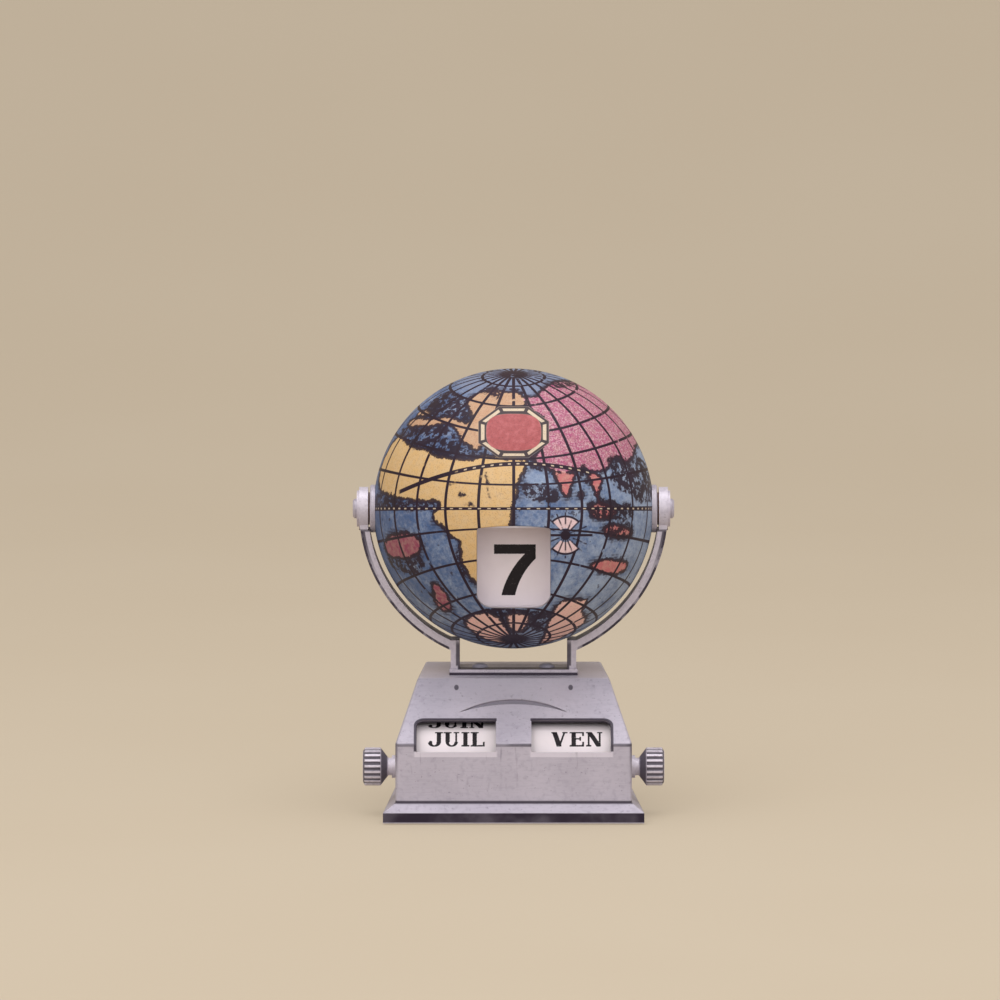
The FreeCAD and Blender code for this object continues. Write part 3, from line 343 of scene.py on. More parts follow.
def brushed_metal(name, shade_and_dirt=None, along=(9, 1, 1), tone=METAL, rough=0.44, painted_light=None):
    """Satin metal with clouds, brush lines along one axis and pits; painted light and painted shade, with
    some dirt, come as formulas.
    """
    paint = Paint(name)
    clouds = paint.noise(9, detail=3)
    lines = paint.noise(0.35, detail=2, roughness=0.7, stretch=along)
    pits = paint.noise(0.5, detail=1, shift=(4, 2, 7))
    pitted = pits.ramp(0.70, 0.76)
    mottle = paint.noise(1.2, detail=3, shift=(3, 8, 1))
    colour = paint.mix(clouds.ramp(0.3, 0.7) * 0.35, tone, METAL_LIGHT)
    colour = paint.mix(mottle.ramp(0.48, 0.7) * 0.22, colour, METAL_SHADE)
    colour = paint.mix(lines.ramp(0.45, 0.75) * 0.16, colour, METAL_SHADE)
    colour = paint.mix(pitted * 0.3, colour, PIT_AND_SHADE_DARK)
    # Painted light, given only for the housing.
    if painted_light:
        colour = painted_light(paint, colour)
    metallic = METAL_SHARE
    # Painted shade, with some dirt on the housing, darkens the colour and dulls the metal.
    if shade_and_dirt:
        dark = shade_and_dirt(paint, clouds)
        colour = paint.mix(dark, colour, PIT_AND_SHADE_DARK)
        metallic = (1 - dark) * METAL_SHARE
    height = lines * 0.6 - pitted * 0.5 + clouds * 0.4
    return paint.finish(
        Base_Color=colour,
        Metallic=metallic,
        Specular_IOR_Level=0.35,
        Roughness=clouds.ramp(0.2, 0.8) * 0.14 + lines * 0.1 + (rough - 0.1),
        Normal=paint.bump(height, 0.02),
    )


def housing_painted_light(paint, colour):
    """Painted light: the upper slope and the deck lighter where the globe's shadow falls, and a painted
    highlight on the lip under each window.
    """
    x, y, z = paint.position()
    # Painted light on the upper slope and the deck, where the globe's shadow falls.
    high = z.ramp(19, DECK) * abs(x).ramp(22, 6) * 0.6
    high = most(high, z.ramp(DECK - 0.15, DECK - 0.05) * 0.9)
    colour = paint.mix(high, colour, PALE_METAL_AND_HIGHLIGHT)
    # Painted highlight along the lip under each window, on the front face.
    lip = z.ramp(WINDOW_SILL - 1.2, WINDOW_SILL - 1.0) * z.ramp(WINDOW_SILL + 0.6, WINDOW_SILL)
    lip = lip * abs(x).ramp(WINDOW_NEAR - 0.5, WINDOW_NEAR)
    lip = lip * abs(x).ramp(WINDOW_FAR + 0.8, WINDOW_FAR + 0.3)
    return paint.mix(lip * y.ramp(-20, -23) * 0.7, colour, PALE_METAL_AND_HIGHLIGHT)


def housing_shade_and_dirt(paint, clouds):
    """Painted shade above the skirt, on its rim, along the crease, in the crescent, round the windows, on
    their cut edges and on the sides, with smudges of dirt and dots.
    """
    x, y, z = paint.position()
    rise, run = DECK - CREASE, DECK_EDGE[0] - BODY_FRONT
    slope = (rise**2 + run**2) ** 0.5
    below_slope = ((y - BODY_FRONT) * rise - (z - CREASE) * run) * float(1 / slope)
    depth = least(y - BODY_FRONT, below_slope)
    windows = abs(x).ramp(WINDOWS_REACH, WINDOWS_REACH - 0.4) * z.ramp(WINDOWS_HEIGHT, WINDOWS_HEIGHT - 0.2)
    openings = most(windows, abs(x).ramp(CRESCENT_REACH, CRESCENT_REACH - 0.2))
    openings = openings * abs(z - OPENINGS_MIDDLE).ramp(OPENINGS_HALF, OPENINGS_HALF - 0.2)
    openings = openings * depth.ramp(OPENINGS_DEPTH, OPENINGS_DEPTH - 0.2)
    # Painted shade: almost black on the windows' cut edges, lighter on the crescent's floor.
    cut_edges = depth.ramp(0.45, 0.6) * openings
    crescent = depth.ramp(0.2, 0.3) * openings * 0.55
    patchiness = clouds.ramp(0.35, 0.6)
    # Painted shade in the corner above the skirt's flare, on the skirt's rim and along the crease, uneven in
    # patches.
    corner = 1 - abs(z - (FLARE_TOP + 0.2)).ramp(0.15, 0.5)
    rim = z.ramp(SKIRT_TOP + 0.1, SKIRT_TOP - 0.1) * z.ramp(0.3, 0.7) * (patchiness * 0.14 + 0.86)
    crease = (1 - abs(z - CREASE + 0.25).ramp(0.18, 0.5)) * (patchiness * 0.35 + 0.5)
    # Painted shadow in a band round the top and the outer side of each window.
    over = most((z - WINDOW_TOP) * (slope / rise) + WINDOW_ROUND, 0.0)
    beside = most(abs(x) - (WINDOW_FAR - WINDOW_ROUND), 0.0)
    outside = paint.away(over, beside) - WINDOW_ROUND
    frame = outside.ramp(0.75, 0.6) * outside.ramp(-0.2, -0.1) * y.ramp(-12, -13)
    frame = frame * abs(x).ramp(WINDOW_NEAR - 0.3, WINDOW_NEAR - 0.1)
    frame = frame * z.ramp(WINDOW_SILL, WINDOW_SILL + 0.3)
    # Painted shade on the side edges just below the crease.
    sides = abs(x).ramp(BODY_SIDE - 0.9, BODY_SIDE - 0.1)
    sides = sides * z.ramp(7, CREASE) * z.ramp(18, CREASE)
    streaks = paint.noise(1.1, detail=2, stretch=(1, 1, 6), shift=(2, 0, 5))
    smudges = streaks.ramp(0.62, 0.8) * 0.3
    dots = paint.away(abs(x) - DOT_PLACE[0], z - DOT_PLACE[1]).ramp(DOT_RADIUS + 0.12, DOT_RADIUS - 0.1)
    dots = dots * y.ramp(0, -2)
    opening_shades = (cut_edges * 0.97, crescent, frame * 0.9)
    return most(corner * 0.9, rim, crease, smudges, *opening_shades, dots * 0.8, sides * 0.7)


def strap_painted_shade(paint, clouds):
    """Painted shade along the strap's outer edge and over its upper part, on the legs' inner sides, under the
    foot and behind its lip, with a dark line across the ears.
    """
    x, y, z = paint.position(GLOBE_CENTRE)
    away = paint.away(x, z)
    level = z + float(GLOBE_CENTRE[2] - DECK)
    hoop = z.ramp(-4.4, -4.7) * abs(x).ramp(LEG + 0.1, LEG + 0.5) * y.ramp(-2.9, -3.2)
    patchiness = paint.noise(2.6, detail=3, shift=(1, 5, 2))
    # Painted shade along the strap's outer edge, uneven in patches, and a wider band of it over the upper
    # part.
    outer = away.ramp(STRAP_OUTER - 0.62, STRAP_OUTER - 0.47)
    outer = outer * (patchiness.ramp(0.35, 0.5) * 0.45 + 0.5)
    upper_edge_shade = away.ramp(STRAP_OUTER - 1.1, STRAP_OUTER - 0.8) * z.ramp(-17, -6) * 0.85
    ear = (1 - abs(z + EAR_LOW).ramp(0.18, 0.34)) * 0.75
    # Painted shade on the legs' inner sides, a painted shadow along the bottom of the foot and one behind its
    # front lip.
    leg = abs(x).ramp(LEG - 1.0, LEG - 1.3) * level.ramp(1.9, 2.2)
    leg = leg * level.ramp(8.5, 6.5) * 0.85
    foot = level.ramp(0.7, 0.55) * 0.95
    gutter = level.ramp(2.3, 2.1) * level.ramp(1.2, 1.35) * y.ramp(-0.6, -1.8)
    gutter = gutter * abs(x).ramp(LEG - 1.4, LEG - 1.7) * 0.9
    return most(hoop * outer, hoop * upper_edge_shade, ear, leg, foot, gutter)


def knob_painted_shade(paint, clouds):
    """Painted shade, near black, in the flutes and behind the cone, from the distance to the axle."""
    x, y, z = paint.position((0.0, *AXLE))
    away = paint.away(y, z)
    rim = abs(x).ramp(KNOB_RIM - 0.3, KNOB_RIM)
    end = abs(x).ramp(KNOB_END - 0.15, KNOB_END)
    # Painted shade in the flutes and behind the cone.
    flutes = away.ramp(FLUTE_TOP, FLUTE_TOP - 0.22) * rim * (1 - end)
    cone = away.ramp(KNOB_NECK, KNOB_NECK + 0.3) * (1 - rim) * abs(x).ramp(KNOB_RIM - 1.9, KNOB_RIM - 1.6)
    return most(flutes * 0.84, cone * 0.8)


STRAP_OUTER = node_box("yoke_strap")[1][0] - 0.5
LEG = 13.9
KNOB_END = node_box("weekday_knob")[1][0]
KNOB_RIM = KNOB_END - 3.9
KNOB_NECK = 2.1
FLUTE_TOP = 4.12
EAR_LOW = 4.5

pressed_metal = brushed_metal("pressed_metal", housing_shade_and_dirt, painted_light=housing_painted_light)
strap_metal = brushed_metal("strap_metal", strap_painted_shade, along=(2, 8, 2), tone=METAL_LIGHT)
knob_metal = brushed_metal("knob_metal", knob_painted_shade, along=(1, 3, 3), tone=PALE_METAL_AND_HIGHLIGHT)
plain_metal = brushed_metal("plain_metal")
turned_metal = brushed_metal("turned_metal", along=(1, 5, 5), rough=0.4)


def simple(name, colour, other, size, rough, metal=0.0, coat=0.0, grain=0.01):
    """A plain finish in two close tones, with a fine grain."""
    paint = Paint(name)
    cloud = paint.noise(size, detail=3)
    fine = paint.noise(0.25, detail=2)
    return paint.finish(
        Base_Color=paint.mix(cloud.ramp(0.35, 0.65), colour, other),
        Roughness=fine * 0.1 + (rough - 0.05),
        Metallic=metal,
        Coat_Weight=coat,
        Normal=paint.bump(fine, grain),
    )


rubber = simple("pad_rubber", linear(34, 32, 34), linear(48, 45, 47), 2, 0.75)
brass = simple("bush_brass", linear(196, 160, 92), linear(168, 130, 70), 1.5, 0.35, metal=0.9)
steel = simple("zinc_steel", linear(158, 156, 162), linear(138, 136, 144), 4, 0.42, metal=0.9)
spring_steel = simple("spring_steel", linear(150, 150, 160), linear(120, 118, 132), 3, 0.3, metal=0.95)
white_plastic = simple("white_plastic", linear(222, 217, 226), linear(214, 208, 220), 6, 0.38, coat=0.2)
drum_plastic = simple("drum_plastic", linear(206, 200, 206), linear(198, 192, 200), 4, 0.5)
dark_plastic = simple("dark_plastic", linear(62, 60, 66), linear(52, 50, 58), 3, 0.55)
fibre = simple("washer_fibre", linear(110, 60, 44), linear(88, 46, 36), 0.8, 0.7)

# %% Finishes for the CAD nodes
SHAFTS = ["month_shaft", "weekday_shaft"]
FINISHES = {
    pressed_metal: ["base_housing"],
    steel: ["bottom_plate", "center_bracket", "carrier_plate", "bottom_screws", "magazine_screws"],
    plain_metal: ["bracket_rivets", "spring_rivets", "left_pivot_pin", "right_pivot_pin", *SHAFTS],
    spring_steel: ["month_detent_spring", "weekday_detent_spring"],
    rubber: ["foot_pads"],
    brass: ["month_bushing", "weekday_bushing", "left_hub_nut", "right_hub_nut"],
    turned_metal: ["left_hub", "right_hub", "yoke_rivets"],
    strap_metal: ["yoke_strap"],
    knob_metal: ["month_knob", "weekday_knob"],
    drum_plastic: ["month_drum", "weekday_drum", "month_index_wheel", "weekday_index_wheel"],
    white_plastic: ["window_frame", "magazine_case", "magazine_cover", "rear_date_card", "upper_date_cards"],
    dark_plastic: ["globe_joining_ring"],
    fibre: ["left_pivot_washer", "right_pivot_washer"],
}
for material, names in FINISHES.items():
    for name in names:
        nodes[name].data.materials.clear()
        nodes[name].data.materials.append(material)

# %% [markdown]
# ## The globe's print
#
# The globe is two pressed half balls of tinplate, printed before pressing. Like old two-circle maps, the
# print draws both poles towards the front, so each is seen a little inside the edge. We get that by tipping
# each point about the X axis by an angle that grows with its height, and only then reading its latitude and
# longitude. Meridians and parallels are then exact formulas in the shader, and sharp at any distance.
# Coasts are different: a coast has no formula, so its outline is written down as a few places, and numpy
# works out how far each point of the ball is from it. The mesh holds that distance, and the shader turns it
# into a coloured land with a dark shore.


# %% Where a point of the ball is seen
def seen_place(direction):
    """Unit directions as the camera sees them: right, away and up, with the angles up and across in degrees.

    up = z cos e + y sin e and towards = z sin e - y cos e, where e is the camera's elevation.
    """
    x, y, z = np.moveaxis(direction, -1, 0)
    height = z * np.cos(ELEVATION) + y * np.sin(ELEVATION)
    facing = z * np.sin(ELEVATION) - y * np.cos(ELEVATION)
    up = np.degrees(np.arcsin(np.clip(height, -1, 1)))
    across = np.degrees(np.arctan2(x, facing))
    return np.stack([x, -facing, height], axis=-1), up, across


# %% [markdown]
# The lands are drawn, each as a short ring of across,up angles in degrees, counted from the middle
# of the front half. The signed distance to a ring needs two things: the nearest stretch of its outline,
# taken as straight chords between unit vectors, and whether the point is inside, which is the usual
# crossing count. A second family of rings marks the waters that the engraver filled with dark hatching.

# %% Lands and their distances
LANDS = {
    "africa": (
        "-71,32 -59,28 -52,26 -45,25 -40,24 -37,22 -29,21 -18,20 -14,22 -10,22 -5,21 1,21 6,20 5,17 4,14 "
        "2,11 1,9 2,7 0,3 -1,-2 -1,-9 -4,-16 -8,-24 -13,-31 -17,-33 -20,-30 -22,-25 -24,-22 -23,-17 "
        "-23,-13 -26,-12 -28,-10 -30,-7 -33,-6 -35,-4 -34,-1 -31,1 -32,3 -45,3 -59,5 -67,6 -74,8 -79,12 "
        "-80,20 -77,28"
    ),
    "europe": (
        "-32,51 -26,55 -18,58 -12,58 -6,55 2,56 8,52 8,47 2,45 -9,46 -12,40 -14,38 -15,33 -14,28 -16,24 "
        "-19,25 -22,27 -25,28 -28,33 -33,36 -38,37 -43,36 -48,35 -55,36 -64,35 -71,37 -68,40 -56,40 "
        "-50,39 -44,40 -38,41 -30,39 -24,37 -22,40 -27,45"
    ),
    "britain": "-68,43 -62,45 -54,44 -52,41 -60,41 -66,41",
    "asia": (
        "7,53 15,52 22,58 38,64 55,65 73,65 92,66 116,66 146,66 160,60 146,52 126,48 112,40 98,32 84,27 "
        "77,27 66,22 57,18 53,22 48,20 43,16 39,15 34,15 31,17 27,15 22,14 17,15 13,17 9,19 7,21 12,24 "
        "15,31 17,40 10,44 7,47"
    ),
    "india": "16,16 22,15 27,15 25,10 23,6 22,4 20,7 18,12",
    "indochina": "34,15 39,14 39,10 37,6 37,3 35,6 34,10 32,13",
    "ceylon": "28,7 30,6 29,4 27,5",
    "borneo": "32,1 38,3 44,1 48,-2 43,-4 37,-4 33,-3",
    "celebes": "39,-8 44,-6 51,-7 58,-9 58,-11 49,-12 42,-11",
    "brazil": "-71,-14 -64,-11 -56,-10 -48,-10 -43,-12 -42,-15 -45,-19 -55,-21 -67,-20 -73,-18",
    "guiana": "-99,2 -96,-4 -98,-14 -103,-26 -110,-38 -118,-36 -122,-18 -118,-2 -108,4",
    "reef": "35,-24 41,-21 50,-21 60,-22 63,-25 56,-28 44,-27",
    "isle": "-43,-31 -38,-33 -36,-39 -38,-45 -46,-48 -49,-43 -45,-37",
    "america": (
        "-160,60 -140,68 -115,64 -100,56 -112,48 -118,40 -128,30 -140,24 -146,16 -138,12 -142,18 -156,26 "
        "-166,38 -172,50"
    ),
    "australia": "116,-20 126,-14 138,-12 146,-18 154,-28 148,-38 136,-36 124,-34 114,-32",
    "south_left": "-38,-54 -27,-49 -17,-47 -11,-49 -6,-56 -3,-64 -8,-75 -36,-68",
    "south_middle": "-6,-48 10,-48 10,-54 7,-61 -2,-61",
    "south_right": "38,-75 24,-56 24,-44 28,-40 36,-40 44,-40 44,-47 60,-53 60,-61 59,-70",
}
GLOOM = [
    (
        "-77,35 -65,36 -48,35 -38,37 -32,34 -28,31 -25,27 -19,24 -12,24 -14,21 -24,20 -32,21 -37,22 "
        "-40,24 -52,25 -59,27 -69,32"
    ),
    "-63,47 -65,55 -50,58 -32,51 -27,45 -22,40 -24,37 -30,39 -38,41 -44,40 -50,39 -59,43",
    "-27,55 -22,59 -14,61 -8,54 -11,50 -17,54",
    "-5,58 5,59 8,53 2,55",
    "33,64 66,68 84,64 44,58 35,59",
    "-84,6 -66,6 -51,3 -38,3 -31,3 -31,1 -34,-1 -41,-1 -52,-1 -63,0 -84,1",
    "-73,-19 -62,-21 -50,-21 -43,-18 -43,-25 -52,-29 -66,-27 -73,-24",
    "44,21 53,23 62,20 75,22 87,17 87,11 82,3 62,2 56,6 48,7 44,11 46,16",
    "31,3 37,5 46,3 59,2 59,-4 47,-5 34,-5 31,-2",
    "38,-8 43,-5 56,-5 61,-9 58,-13 45,-13",
    "28,17 32,19 33,15 33,9 30,10 28,13",
    "5,22 9,20 14,16 16,15 12,14 6,17",
    "2,11 9,10 14,10 18,8 20,5 17,2 7,3 3,7",
    "-24,-13 -23,-17 -24,-22 -20,-30 -17,-33 -21,-33 -25,-26 -26,-20",
    "-21,-45 -3,-44 19,-47 25,-43 24,-55 20,-63 11,-56 10,-48 -6,-48 -6,-56 -11,-49 -17,-47",
    "-27,10 -24,11 -24,9 -27,9",
    "-24,6 -21,8 -19,5 -23,4",
    "-20,2 -18,3 -16,1 -19,0",
    "-12,16 -10,12 -11,6 -8,3 -10,5 -12,11",
]
TINTS = {
    "africa": ["africa"],
    "europe": ["europe", "britain"],
    "asia": ["asia", "america"],
    "isles": ["india", "indochina", "ceylon", "borneo", "celebes", "guiana", "reef", "australia"],
    "wine": ["isle", "brazil"],
    "south": ["south_left", "south_middle", "south_right"],
}


def unit(across, up):
    """Seen direction of a place: X to the right, -Y towards the camera, Z up."""
    across, up = np.radians(across), np.radians(up)
    level = np.cos(up)
    return np.stack([level * np.sin(across), -level * np.cos(across), np.sin(up)], axis=-1)


CORNER_SHARE = 0.22


def soften(text, rounds=2):
    """Reads a ring and cuts its corners twice, so that a few written places give a flowing coast."""
    ring = np.array([place.split(",") for place in text.split()], float)
    for _ in range(rounds):
        after = np.roll(ring, -1, axis=0)
        cuts = [ring * (1 - share) + after * share for share in (CORNER_SHARE, 1 - CORNER_SHARE)]
        ring = np.stack(cuts, axis=1).reshape(-1, 2)
    return ring


def union(*fields):
    """The greatest of several signed distances: inside wherever one of them is positive."""
    return np.maximum.reduce(fields)


def ring_field(places, up, across, ring, reach=6.0):
    """Signed distance in millimetres to one ring, positive inside; points far outside only get the reach."""
    ring = soften(ring)
    corners = unit(*ring.T)
    middle = corners.mean(axis=0)
    middle /= np.linalg.norm(middle)
    widest = np.arccos(np.clip(corners @ middle, -1, 1)).max() + reach / GLOBE_RADIUS
    near = np.flatnonzero(places @ middle > np.cos(widest))
    result = np.full(len(places), -reach)
    spot, distance, count = places[near], np.full(len(near), np.inf), np.zeros(len(near), int)
    for n in range(len(corners)):
        start, end = corners[n - 1], corners[n]
        stretch = end - start
        share = np.clip((spot - start) @ stretch / (stretch @ stretch), 0, 1)
        distance = np.minimum(distance, np.linalg.norm(spot - start - share[:, None] * stretch, axis=1))
        (x0, y0), (x1, y1) = ring[n - 1], ring[n]
        if y0 != y1:
            spans = (up[near] >= min(y0, y1)) & (up[near] < max(y0, y1))
            count += spans & (across[near] < x0 + (up[near] - y0) * (x1 - x0) / (y1 - y0))
    result[near] = np.where(count % 2 == 1, distance, -distance) * GLOBE_RADIUS
    return result


# %% [markdown]
# ## Two half shells
#
# Each half is one closed surface: out along the printed face to the seam, round the cut edge, back along
# the inside. The front half has the date window, so its lattice starts on the window's outline instead of
# at a pole. Every ray of the lattice runs over the ball from a point of that rounded rectangle to a point
# of the seam circle, and is a slerp: the even turn from one direction to another.

# %% Shell lattices
window_low, window_high = node_box("window_frame")
FRAME_WALL = 0.6
VIEW_HALF = (window_high[0] - window_low[0]) / 2 - FRAME_WALL
VIEW_LOW = window_low[2] + FRAME_WALL - GLOBE_CENTRE[2]
VIEW_HIGH = window_high[2] - FRAME_WALL - GLOBE_CENTRE[2]
VIEW_ROUND = 3.2
VIEW_CROWN = 0.7
VIEW_ROUND_TOP = 0.5
SHELL_WALL = 0.5
LIP_SHARES = np.array([0.0, 0.12, 0.5, 0.88, 1.0])


def rounded_rectangle(half, low, high, round_low, round_high, count):
    """Evenly spaced points round an upright rectangle whose low and high corners have their own radius."""
    corners = [
        (half - round_low, low + round_low, round_low, -np.pi / 2),
        (half - round_high, high - round_high, round_high, 0),
        (-half + round_high, high - round_high, round_high, np.pi / 2),
        (-half + round_low, low + round_low, round_low, np.pi),
    ]
    turn = np.radians(np.linspace(0, 90, 24))
    outline = np.concatenate(
        [
            np.array([x, z]) + radius * np.stack([np.cos(turn + first), np.sin(turn + first)], axis=-1)
            for x, z, radius, first in corners
        ]
    )
    closed = np.vstack([outline, outline[:1]])
    reach = np.concatenate([[0], np.cumsum(np.linalg.norm(np.diff(closed, axis=0), axis=1))])
    wanted = np.linspace(0, reach[-1], count, endpoint=False)
    return np.stack([np.interp(wanted, reach, closed[:, axis]) for axis in (0, 1)], axis=-1)


def slerp(start, end, share):
    """Even turn between unit directions, for a whole row of shares."""
    angle = np.arccos(np.clip(np.sum(start * end, axis=-1), -1, 1))[:, None, None]
    share = share[None, :, None]
    near = np.sin((1 - share) * angle) / np.sin(angle)
    far = np.sin(share * angle) / np.sin(angle)
    return near * start[:, None] + far * end[:, None]


def shell_points(start, rounds_out, rounds_in, pole=False):
    """Lattice and shares of a half shell from the start directions to the seam circle, out and back."""
    middle = start.mean(axis=0)
    spin = even_angles(len(start)) if pole else np.arctan2(start[:, 2] - middle[2], start[:, 0] - middle[0])
    seam = np.stack([np.cos(spin), np.zeros_like(spin), np.sin(spin)], axis=-1)
    out = np.linspace(0, 1, rounds_out)
    back = np.linspace(1, 0, rounds_in)
    lip = GLOBE_RADIUS - SHELL_WALL * LIP_SHARES
    share = np.concatenate([out, np.ones(3), back])
    radius = np.concatenate([np.full(rounds_out, lip[0]), lip[1:4], np.full(rounds_in, lip[4])])
    if not pole:
        share = np.concatenate([share, np.zeros(3)])
        radius = np.concatenate([radius, lip[3:0:-1]])
    direction = slerp(start, seam, share)
    points = direction * radius[None, :, None]
    return direction, points + GLOBE_CENTRE, radius


def even_angles(count):
    """Angles at even steps round a full turn."""
    return np.arange(count) / count * TURN


ROUND = 448
OUT_ROWS = 176
IN_ROWS = 22


def front_start():
    """Directions from the centre to the window's outline on the ball."""
    outline = rounded_rectangle(VIEW_HALF, VIEW_LOW, VIEW_HIGH, VIEW_ROUND, VIEW_ROUND_TOP, ROUND)
    upper = np.clip((outline[:, 1] - VIEW_LOW) / (VIEW_HIGH - VIEW_LOW), 0, 1)
    outline[:, 1] += upper * VIEW_CROWN * (0.6 - (outline[:, 0] / VIEW_HALF) ** 2)
    depth = -np.sqrt(GLOBE_RADIUS**2 - np.sum(outline**2, axis=1))
    return np.stack([outline[:, 0], depth, outline[:, 1]], axis=-1) / GLOBE_RADIUS


def rear_start():
    """A ring of directions just round the rear pole of the lattice."""
    angle = even_angles(ROUND)
    near = 1e-4
    ring = np.stack([near * np.cos(angle), np.ones(ROUND), near * np.sin(angle)], axis=-1)
    return ring / np.linalg.norm(ring, axis=1, keepdims=True)


def shell(name, start, pole, material):
    """One half of the globe, with its distances to the rings of each tint and of the dark waters."""
    direction, points, radius = shell_points(start, OUT_ROWS, IN_ROWS, pole=pole)
    seen = seen_place(direction.reshape(-1, 3))
    rings = {tint: [LANDS[land] for land in lands] for tint, lands in TINTS.items()} | {"gloom": GLOOM}
    fields = {}
    for key, group in rings.items():
        fields[key] = union(*[ring_field(*seen, ring) for ring in group])
    outside = radius > GLOBE_RADIUS - SHELL_WALL * 0.3
    fields["printed"] = np.broadcast_to(outside, direction.shape[:2]).astype(float)
    made = lattice(name, points, poles=pole, fields=fields, material=material, flip=pole)
    print(f"{name}: {len(made.data.vertices)} points, {len(made.data.polygons)} faces")
    return made


# %% [markdown]
# ## The lithographed tin
#
# The shader reads the distances and paints the map in the order of the printer's plates: slate-blue sea,
# the lands' flat tints, the dark hatching of coasts and straits, then the net of meridians and parallels,
# the equator as a dashed double line and the ecliptic as a dashed arc. A framed oval and a compass rose are
# ornaments of the sheet.

# %% The globe's material
SEA = linear(66, 90, 132)
SEA_LIGHT = linear(140, 156, 182)
POLAR = linear(110, 122, 150)
INK = linear(14, 2, 20)
GLOOM_INK = linear(38, 16, 42)
OCHRE = linear(200, 164, 112)
APRICOT = linear(178, 138, 108)
ROSE = linear(162, 78, 114)
SALMON = linear(182, 100, 104)
BLUSH = linear(222, 178, 170)
WINE = linear(134, 58, 84)
CREAM_PRINT = linear(196, 178, 154)
OVAL_RED = linear(152, 72, 74)
PETAL = linear(214, 186, 188)
BARE_TIN = linear(176, 172, 176)
TILT = np.radians(19.5)
TILT_LESS = np.radians(2.5)
NORTH_ROWS = (16.6, 32.8, 47.4, 63.1, 77.2)
SOUTH_ROWS = (-14.0, -34.0, -53.7, -64.0, -75.0)
MERIDIAN_STEP = 14.4
LINE = 0.35
OVAL_HALF = (6.1, 4.1)
FRAME_HALF = (7.6, 5.55)
CARTOUCHE_UP = 16.7
ROSE_PLACE = (11.3, -5.8)
ROSE_SHARE = 0.85
ROSE_RADIUS = 3.75
SPOKE_REACH = 4.4
BEAM_REACH = 5.2
BOSS_RADIUS = 1.05
SPOKE_STEP = 22.5
ARC_TOP = 0.316
ARC_MIDDLE = 0.05
ARC_BEND = 0.27


def cartouche(paint, u, w, colour, ink):
    """A red oval in a frame of eight cream links with dark outlines, from millimetres off its middle."""
    side, rise = abs(u), abs(w)
    beside, above = side / FRAME_HALF[0], rise / FRAME_HALF[1]
    cubes = paint.math("POWER", side / OVAL_HALF[0], 3.0) + paint.math("POWER", rise / OVAL_HALF[1], 3.0)
    oval = paint.math("POWER", cubes, 1 / 3)
    frame = most(beside, above, (beside + above) / 1.42)
    angle = paint.math("ARCTAN2", above, beside) * float(np.degrees(1))
    joint = (paint.math("PINGPONG", angle / 45, 0.5) * 2).ramp(0.82, 0.88)
    inside = frame.ramp(1.03, 1.0)
    link = frame.ramp(0.95, 0.93) * frame.ramp(0.83, 0.85) * (1 - joint)
    field = frame.ramp(0.80, 0.78) * oval.ramp(1.09, 1.11)
    red = oval.ramp(1.0, 0.97)
    blank = most(link, field)
    colour = paint.mix(inside, colour, CREAM_PRINT)
    faded = paint.noise(1.2, detail=3).ramp(0.4, 0.7) * 0.5
    colour = paint.mix(red, colour, paint.mix(faded, OVAL_RED, SALMON))
    return colour, most(ink * (1 - inside), inside * (1 - most(blank, red)) * 0.95)


def compass_rose(paint, u, w, colour, ink):
    """Two fans of pale petals, sixteen spokes and a dark boss; u and w are millimetres from its middle."""
    away = paint.away(u, w)
    angle = paint.math("ARCTAN2", w, u) * float(np.degrees(1))
    lean = abs(90.0 - abs(angle))
    disc = away.ramp(ROSE_RADIUS, ROSE_RADIUS - 0.15)
    petals = lean.ramp(44, 42) * away.ramp(1.2, 1.4) * away.ramp(3.4, 3.25)
    edge = lean.ramp(47, 45) * away.ramp(3.2, 3.4) * disc
    spoke = paint.math("PINGPONG", (angle + 360.0) / SPOKE_STEP, 0.5) * away * 0.39
    spokes = spoke.ramp(0.2, 0.1) * away.ramp(SPOKE_REACH, SPOKE_REACH - 0.2)
    spokes = spokes * paint.noise(1.5).ramp(0.3, 0.5)
    boss = away.ramp(BOSS_RADIUS, BOSS_RADIUS - 0.2)
    colour = paint.mix(petals, colour, PETAL)
    beam = abs(w).ramp(0.28, 0.18) * abs(u).ramp(BEAM_REACH, BEAM_REACH - 0.3)
    return colour, most(ink * (1 - petals), edge, spokes * 0.9, boss, beam)


